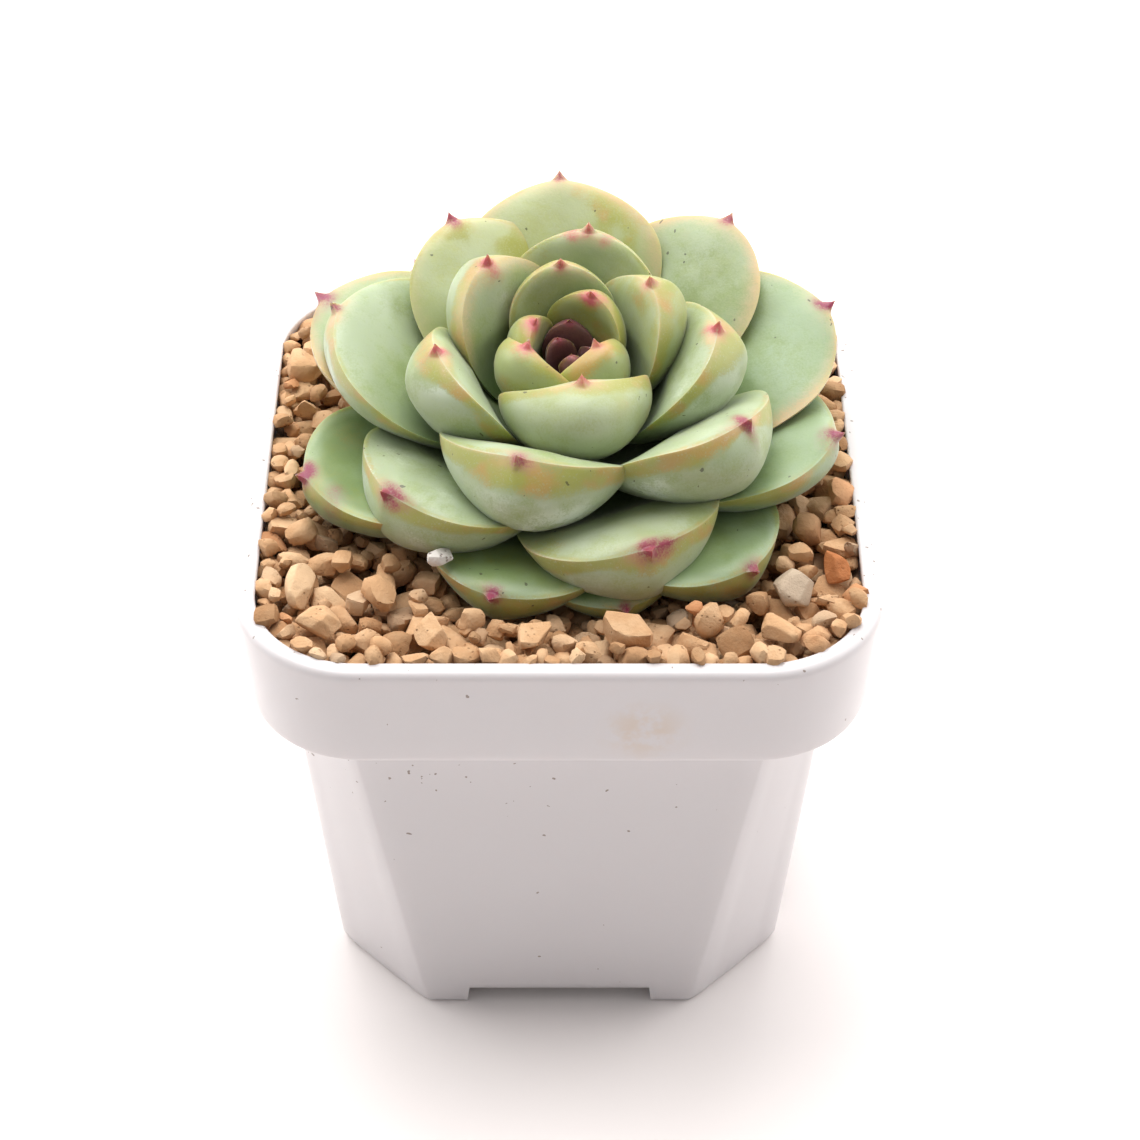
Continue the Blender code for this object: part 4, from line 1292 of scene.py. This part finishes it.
@dataclass
class Gravel:
    """Loose crushed stones heaped round the plant, on a bed of dark fines."""

    pot: Pot
    rosette: Rosette
    cell: float = 0.3 * MM
    proud: float = 1.1 * MM
    wall_gap: float = 0.7 * MM
    shallow: float = 0.35 * MM
    sink: float = 0.22
    lean: float = 0.35
    most: int = 4000
    stones: list[Stone] = field(default_factory=list)
    named: dict[str, Stone] = field(default_factory=dict)

    def __post_init__(self) -> None:
        """Sets up the height maps over the pot's mouth."""
        reach = self.pot.mouth
        self.axis = np.arange(-reach, reach + self.cell, self.cell)
        self.x, self.y = np.meshgrid(self.axis, self.axis, indexing="ij")
        self.inside = self.clearance(self.x, self.y)
        self.rng = np.random.default_rng(41)
        level = self.target(self.x, self.y) - 3.6 * MM
        self.height = np.where(self.inside > 0, level, self.pot.rim_height)
        self.ceiling = np.full_like(self.height, 1.0)
        self.shade()

    def clearance(self, x: np.ndarray, y: np.ndarray) -> np.ndarray:
        """Distance in from the round-cornered wall, negative outside it."""
        inner = self.pot.corner - self.pot.wall
        dx = np.abs(x) - (self.pot.mouth - inner)
        dy = np.abs(y) - (self.pot.mouth - inner)
        beyond = np.hypot(np.maximum(dx, 0.0), np.maximum(dy, 0.0))
        return inner - beyond - np.minimum(np.maximum(dx, dy), 0.0)

    def target(self, x: np.ndarray, y: np.ndarray) -> np.ndarray:
        """Level the heap is filled to: low under the leaves, higher at the wall."""
        unit = self.rosette.unit
        corner = smooth(np.hypot(x, y), 31 * unit, 40 * unit)
        wall = smooth(self.clearance(x, y), 6.5 * unit, 1.0 * unit)
        return self.pot.rim_height + unit * (-4.9 + 4.1 * np.maximum(wall, 0.8 * corner))

    def shade(self) -> None:
        """Lowest leaf surface over each cell, from the leaves' own points."""
        for _, shell in self.rosette.shells:
            column = np.round((shell.points[:, :2] + self.pot.mouth) / self.cell).astype(int)
            keep = ((column >= 0) & (column < len(self.axis))).all(1)
            column, z = column[keep], shell.points[keep, 2]
            np.minimum.at(self.ceiling, (column[:, 0], column[:, 1]), z)
        for _ in range(2):
            for axis in (0, 1):
                sides = [np.roll(self.ceiling, step, axis) for step in (-1, 1)]
                self.ceiling = np.minimum(self.ceiling, np.minimum(*sides))

    def drop(self, centre: np.ndarray, half: np.ndarray) -> tuple[float, tuple, np.ndarray] | None:
        """Rests an ellipsoid on the heap, pressed in over its sink share.

        Args:
            centre: Its x and y.
            half: Its half-lengths across, along and up.

        Returns:
            Its height, its window of the maps and its top, or None if it
            meets the wall or a leaf, or stands too proud of the rim.
        """
        span = max(half[0], half[1])
        low = np.maximum(((centre - span + self.pot.mouth) / self.cell).astype(int), 0)
        high = ((centre + span + self.pot.mouth) / self.cell).astype(int) + 2
        window = (slice(low[0], high[0]), slice(low[1], high[1]))
        spread = (self.x[window] - centre[0]) ** 2 + (self.y[window] - centre[1]) ** 2
        spread = spread / (half[0] * half[1])
        under = spread < 1
        if not under.any() or (self.inside[window][under] < 0).mean() > 0.05:
            return None
        dome = half[2] * np.sqrt(np.clip(1 - spread, 0, 1))
        z = float(np.quantile((self.height[window] + dome)[under], 1 - self.sink))
        if z + half[2] > self.pot.rim_height + self.proud:
            return None
        top = np.where(under, z + dome, -1.0)
        if ((top + 0.1 * MM > self.ceiling[window]) & under).any():
            return None
        return z, window, top

    def heap(self) -> None:
        """Drops stones one at a time where the heap is lowest against its target."""
        want = self.target(self.x, self.y)
        for number in range(self.most):
            spots = self.rng.uniform(-self.pot.mouth, self.pot.mouth, (60, 2))
            column = np.round((spots + self.pot.mouth) / self.cell).astype(int)
            column = np.clip(column, 0, len(self.axis) - 1)
            need = (want - self.height)[column[:, 0], column[:, 1]]
            need[self.inside[column[:, 0], column[:, 1]] < self.wall_gap] = -1.0
            order = np.argsort(-need)
            size = self.rng.choice(STONE_SIZES, p=STONE_SHARES) * self.rng.uniform(0.88, 1.12)
            for spot in order[:6]:
                if need[spot] < self.shallow:
                    break
                scale = self.rosette.unit * size
                half = scale * np.array([self.rng.uniform(*span) for span in STONE_SPANS])
                placed = self.drop(spots[spot], half)
                if placed is None:
                    continue
                z, window, top = placed
                self.height[window] = np.maximum(self.height[window], top)
                warmth, light = np.clip(self.rng.normal((0.5, 0.45), (0.13, 0.2)), 0.0, 1.0)
                tone = Tone(float(warmth), float(light))
                centre = np.array([*spots[spot], z])
                turn = random_turn(self.rng, self.lean)
                self.stones.append(Stone(centre, half, turn, tone, 1000 + number))
                break

    def build(self, named_nodes: dict[str, tuple[str, Tone]]) -> None:
        """Makes the fines, the heap and the named stones.

        Args:
            named_nodes: Slot and tone of each CAD stone, by node name.
        """
        for node in named_nodes:
            low, high = (np.array(corner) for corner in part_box(node))
            centre, half = (low + high) / 2, (high - low) / 2
            span = (np.abs(self.x - centre[0]) < half[0]) & (np.abs(self.y - centre[1]) < half[1])
            self.ceiling[span] = np.minimum(self.ceiling[span], low[2] + 0.4 * MM)
            self.named[node] = Stone(centre, half, np.eye(3), named_nodes[node][1], 70 + len(self.named), 16)
        self.heap()
        material = CrushedStone("crushed_stone").build()
        crumb_low, crumb_high = (np.array(corner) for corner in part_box("crumb_pale"))
        centre, half = (crumb_low + crumb_high) / 2, (crumb_high - crumb_low) / 2
        crumb = Stone(centre, half, np.eye(3), Tone(0.5, 0.5), 93, 16).shell(round_box(16))
        porous = CrushedStone("porous_crumb", (0.72, 0.68, 0.64), (0.20, 0.11, 0.08), (0.86, 0.83, 0.8))
        finish_piece(crumb.build("porous_crumb", porous.build(), 50.0), "crumb_white", "crumb_pale")
        for node, stone in self.named.items():
            shell = stone.shell(round_box(stone.cells))
            piece = shell.build(node.replace("stone", "pebble"), material, 40.0)
            finish_piece(piece, named_nodes[node][0], node)
        ball = round_box(3)
        heap = merge_shells([stone.shell(ball) for stone in self.stones])
        finish_piece(heap.build("gravel_stones", material, 42.0), "gravel_tan", "gravel_bed")
        self.fines()

    def fines(self) -> None:
        """Slab of dark fines under the stones: a bumpy top, a flat underside."""
        share = np.linspace(0.0, 1.0, 50)[1:, None, None]
        edge = self.pot.rim(self.pot.mouth - 0.35 * MM, 0.0)[None]
        flat = edge * share
        z = self.target(flat[..., 0], flat[..., 1]) - 3.2 * MM
        z = z + 1.3 * MM * smooth(self.clearance(flat[..., 0], flat[..., 1]), 3.0 * MM, 0.4 * MM)
        z = z + 0.5 * MM * lattice_noise(flat, 1.6 * MM, 5)
        top = np.concatenate([flat[..., :2], z[..., None]], -1)
        bottom = top[::-1][::12].copy()
        bottom[..., 2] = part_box("gravel_bed")[0][2]
        rings = np.concatenate([top, bottom])
        start = np.array([0.0, 0.0, z[0].mean()])
        shell = Shell.from_rings(rings, start, np.array([0.0, 0.0, bottom[0, 0, 2]]))
        finish = DarkMix("dark_fines", (0.11, 0.066, 0.038), (0.42, 0.26, 0.14))
        piece = shell.build("gravel_fines", finish.build())
        finish_piece(piece, "gravel_tan")


def dress_mix(nodes: dict[str, bpy.types.Object]) -> None:
    """Gives the potting mix, seen only through the drain hole, its crumbly finish.

    Args:
        nodes: The CAD objects by node name.
    """
    mix = nodes["potting_mix"]
    mix.data.materials.clear()
    mix.data.materials.append(DarkMix("potting_mix_crumbs").build())
    LOG.info("potting_mix: finished in place")


# ---- Studio ----


@dataclass
class Studio:
    """Pale floor, soft lights and the camera."""

    target: Vector
    distance: float = 0.3558
    elevation: float = 41.4
    lens: float = 93.4
    shift: float = 0.0094

    def light(
        self, name: str, place: tuple[float, float, float], size: float, power: float, colour: Colour
    ) -> None:
        """Adds a square soft light aimed at the target."""
        data = bpy.data.lights.new(name, "AREA")
        data.size = size
        data.energy = power
        data.color = colour
        obj = bpy.data.objects.new(name, data)
        obj.location = place
        obj.rotation_euler = (self.target - Vector(place)).to_track_quat("-Z", "Y").to_euler()
        bpy.context.scene.collection.objects.link(obj)

    def build(self) -> None:
        """Sets up floor, world, lights and camera."""
        scene = bpy.context.scene
        scene.view_settings.view_transform = "Standard"
        floor_material, _, shader = new_material("studio_floor")
        shader.inputs["Base Color"].default_value = (0.95, 0.905, 0.89, 1.0)
        shader.inputs["Roughness"].default_value = 0.85
        side = 3.0
        corners = np.array([[-side, -side, 0], [side, -side, 0], [side, side, 0], [-side, side, 0]], float)
        floor = Shell(corners, np.array([[0, 1, 2, 3]]), np.zeros((0, 3), int)).build("floor", floor_material)
        world = bpy.data.worlds.new("studio")
        world.use_nodes = True
        w = Wiring(world.node_tree)
        facing = w.node("ShaderNodeSeparateXYZ", {0: w.node("ShaderNodeTexCoord").outputs["Generated"]})
        behind = w.step(facing.outputs[1], -0.75, 0.35)
        sky = world.node_tree.nodes["Background"]
        sky.inputs[0].default_value = (1.0, 0.98, 0.975, 1.0)
        w.put(sky.inputs[1], w.plus(0.3, w.times(behind, 0.75)))
        scene.world = world
        self.light("left_panel", (-0.5, 0.22, 0.36), 0.5, 1.7, (1.0, 0.99, 0.97))
        self.light("right_panel", (0.5, 0.22, 0.36), 0.5, 1.7, (1.0, 0.98, 0.96))
        self.light("back_panel", (0.0, 0.5, 0.5), 0.6, 2.2, (1.0, 1.0, 1.0))
        self.light("top_panel", (-0.08, 0.16, 0.7), 0.45, 2.9, (1.0, 0.985, 0.96))
        data = bpy.data.cameras.new("camera")
        data.lens = self.lens
        data.sensor_width = 36.0
        data.shift_x = self.shift
        data.clip_start = 0.01
        camera = bpy.data.objects.new("camera", data)
        angle = math.radians(self.elevation)
        camera.location = self.target + self.distance * Vector((0.0, -math.cos(angle), math.sin(angle)))
        camera.rotation_euler = (self.target - camera.location).to_track_quat("-Z", "Y").to_euler()
        scene.collection.objects.link(camera)
        scene.camera = camera


def main() -> None:
    """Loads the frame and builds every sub-assembly."""
    logging.basicConfig(level=logging.INFO, format="%(name)s %(message)s")
    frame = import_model()
    for name in ("Cube", "Light", "Camera"):
        if name in bpy.data.objects:
            bpy.data.objects.remove(bpy.data.objects[name])
    pot_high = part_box("pot")[1]
    pot = Pot(rim_half=pot_high[0], rim_height=pot_high[2])
    pot.build()
    unit = pot.mouth / NOMINAL_MOUTH
    rosette = Rosette(unit, pot.rim_height, (PLANT_AT[0] * unit, PLANT_AT[1] * unit))
    rosette.build()
    stem_low, stem_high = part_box("stem")
    Stem(rosette, stem_low[2], stem_high[2]).build()
    slots = {entry["node"]: entry["material_slot"] for entry in frame["record"]["subparts"]}
    named = {node: (slot, STONE_TONES[slot]) for node, slot in slots.items() if node.startswith("stone_")}
    Gravel(pot, rosette).build(named)
    dress_mix(frame["nodes"])
    Studio(Vector((0.0, 0.0, AIM_HEIGHT))).build()


if __name__ == "__main__":
    main()
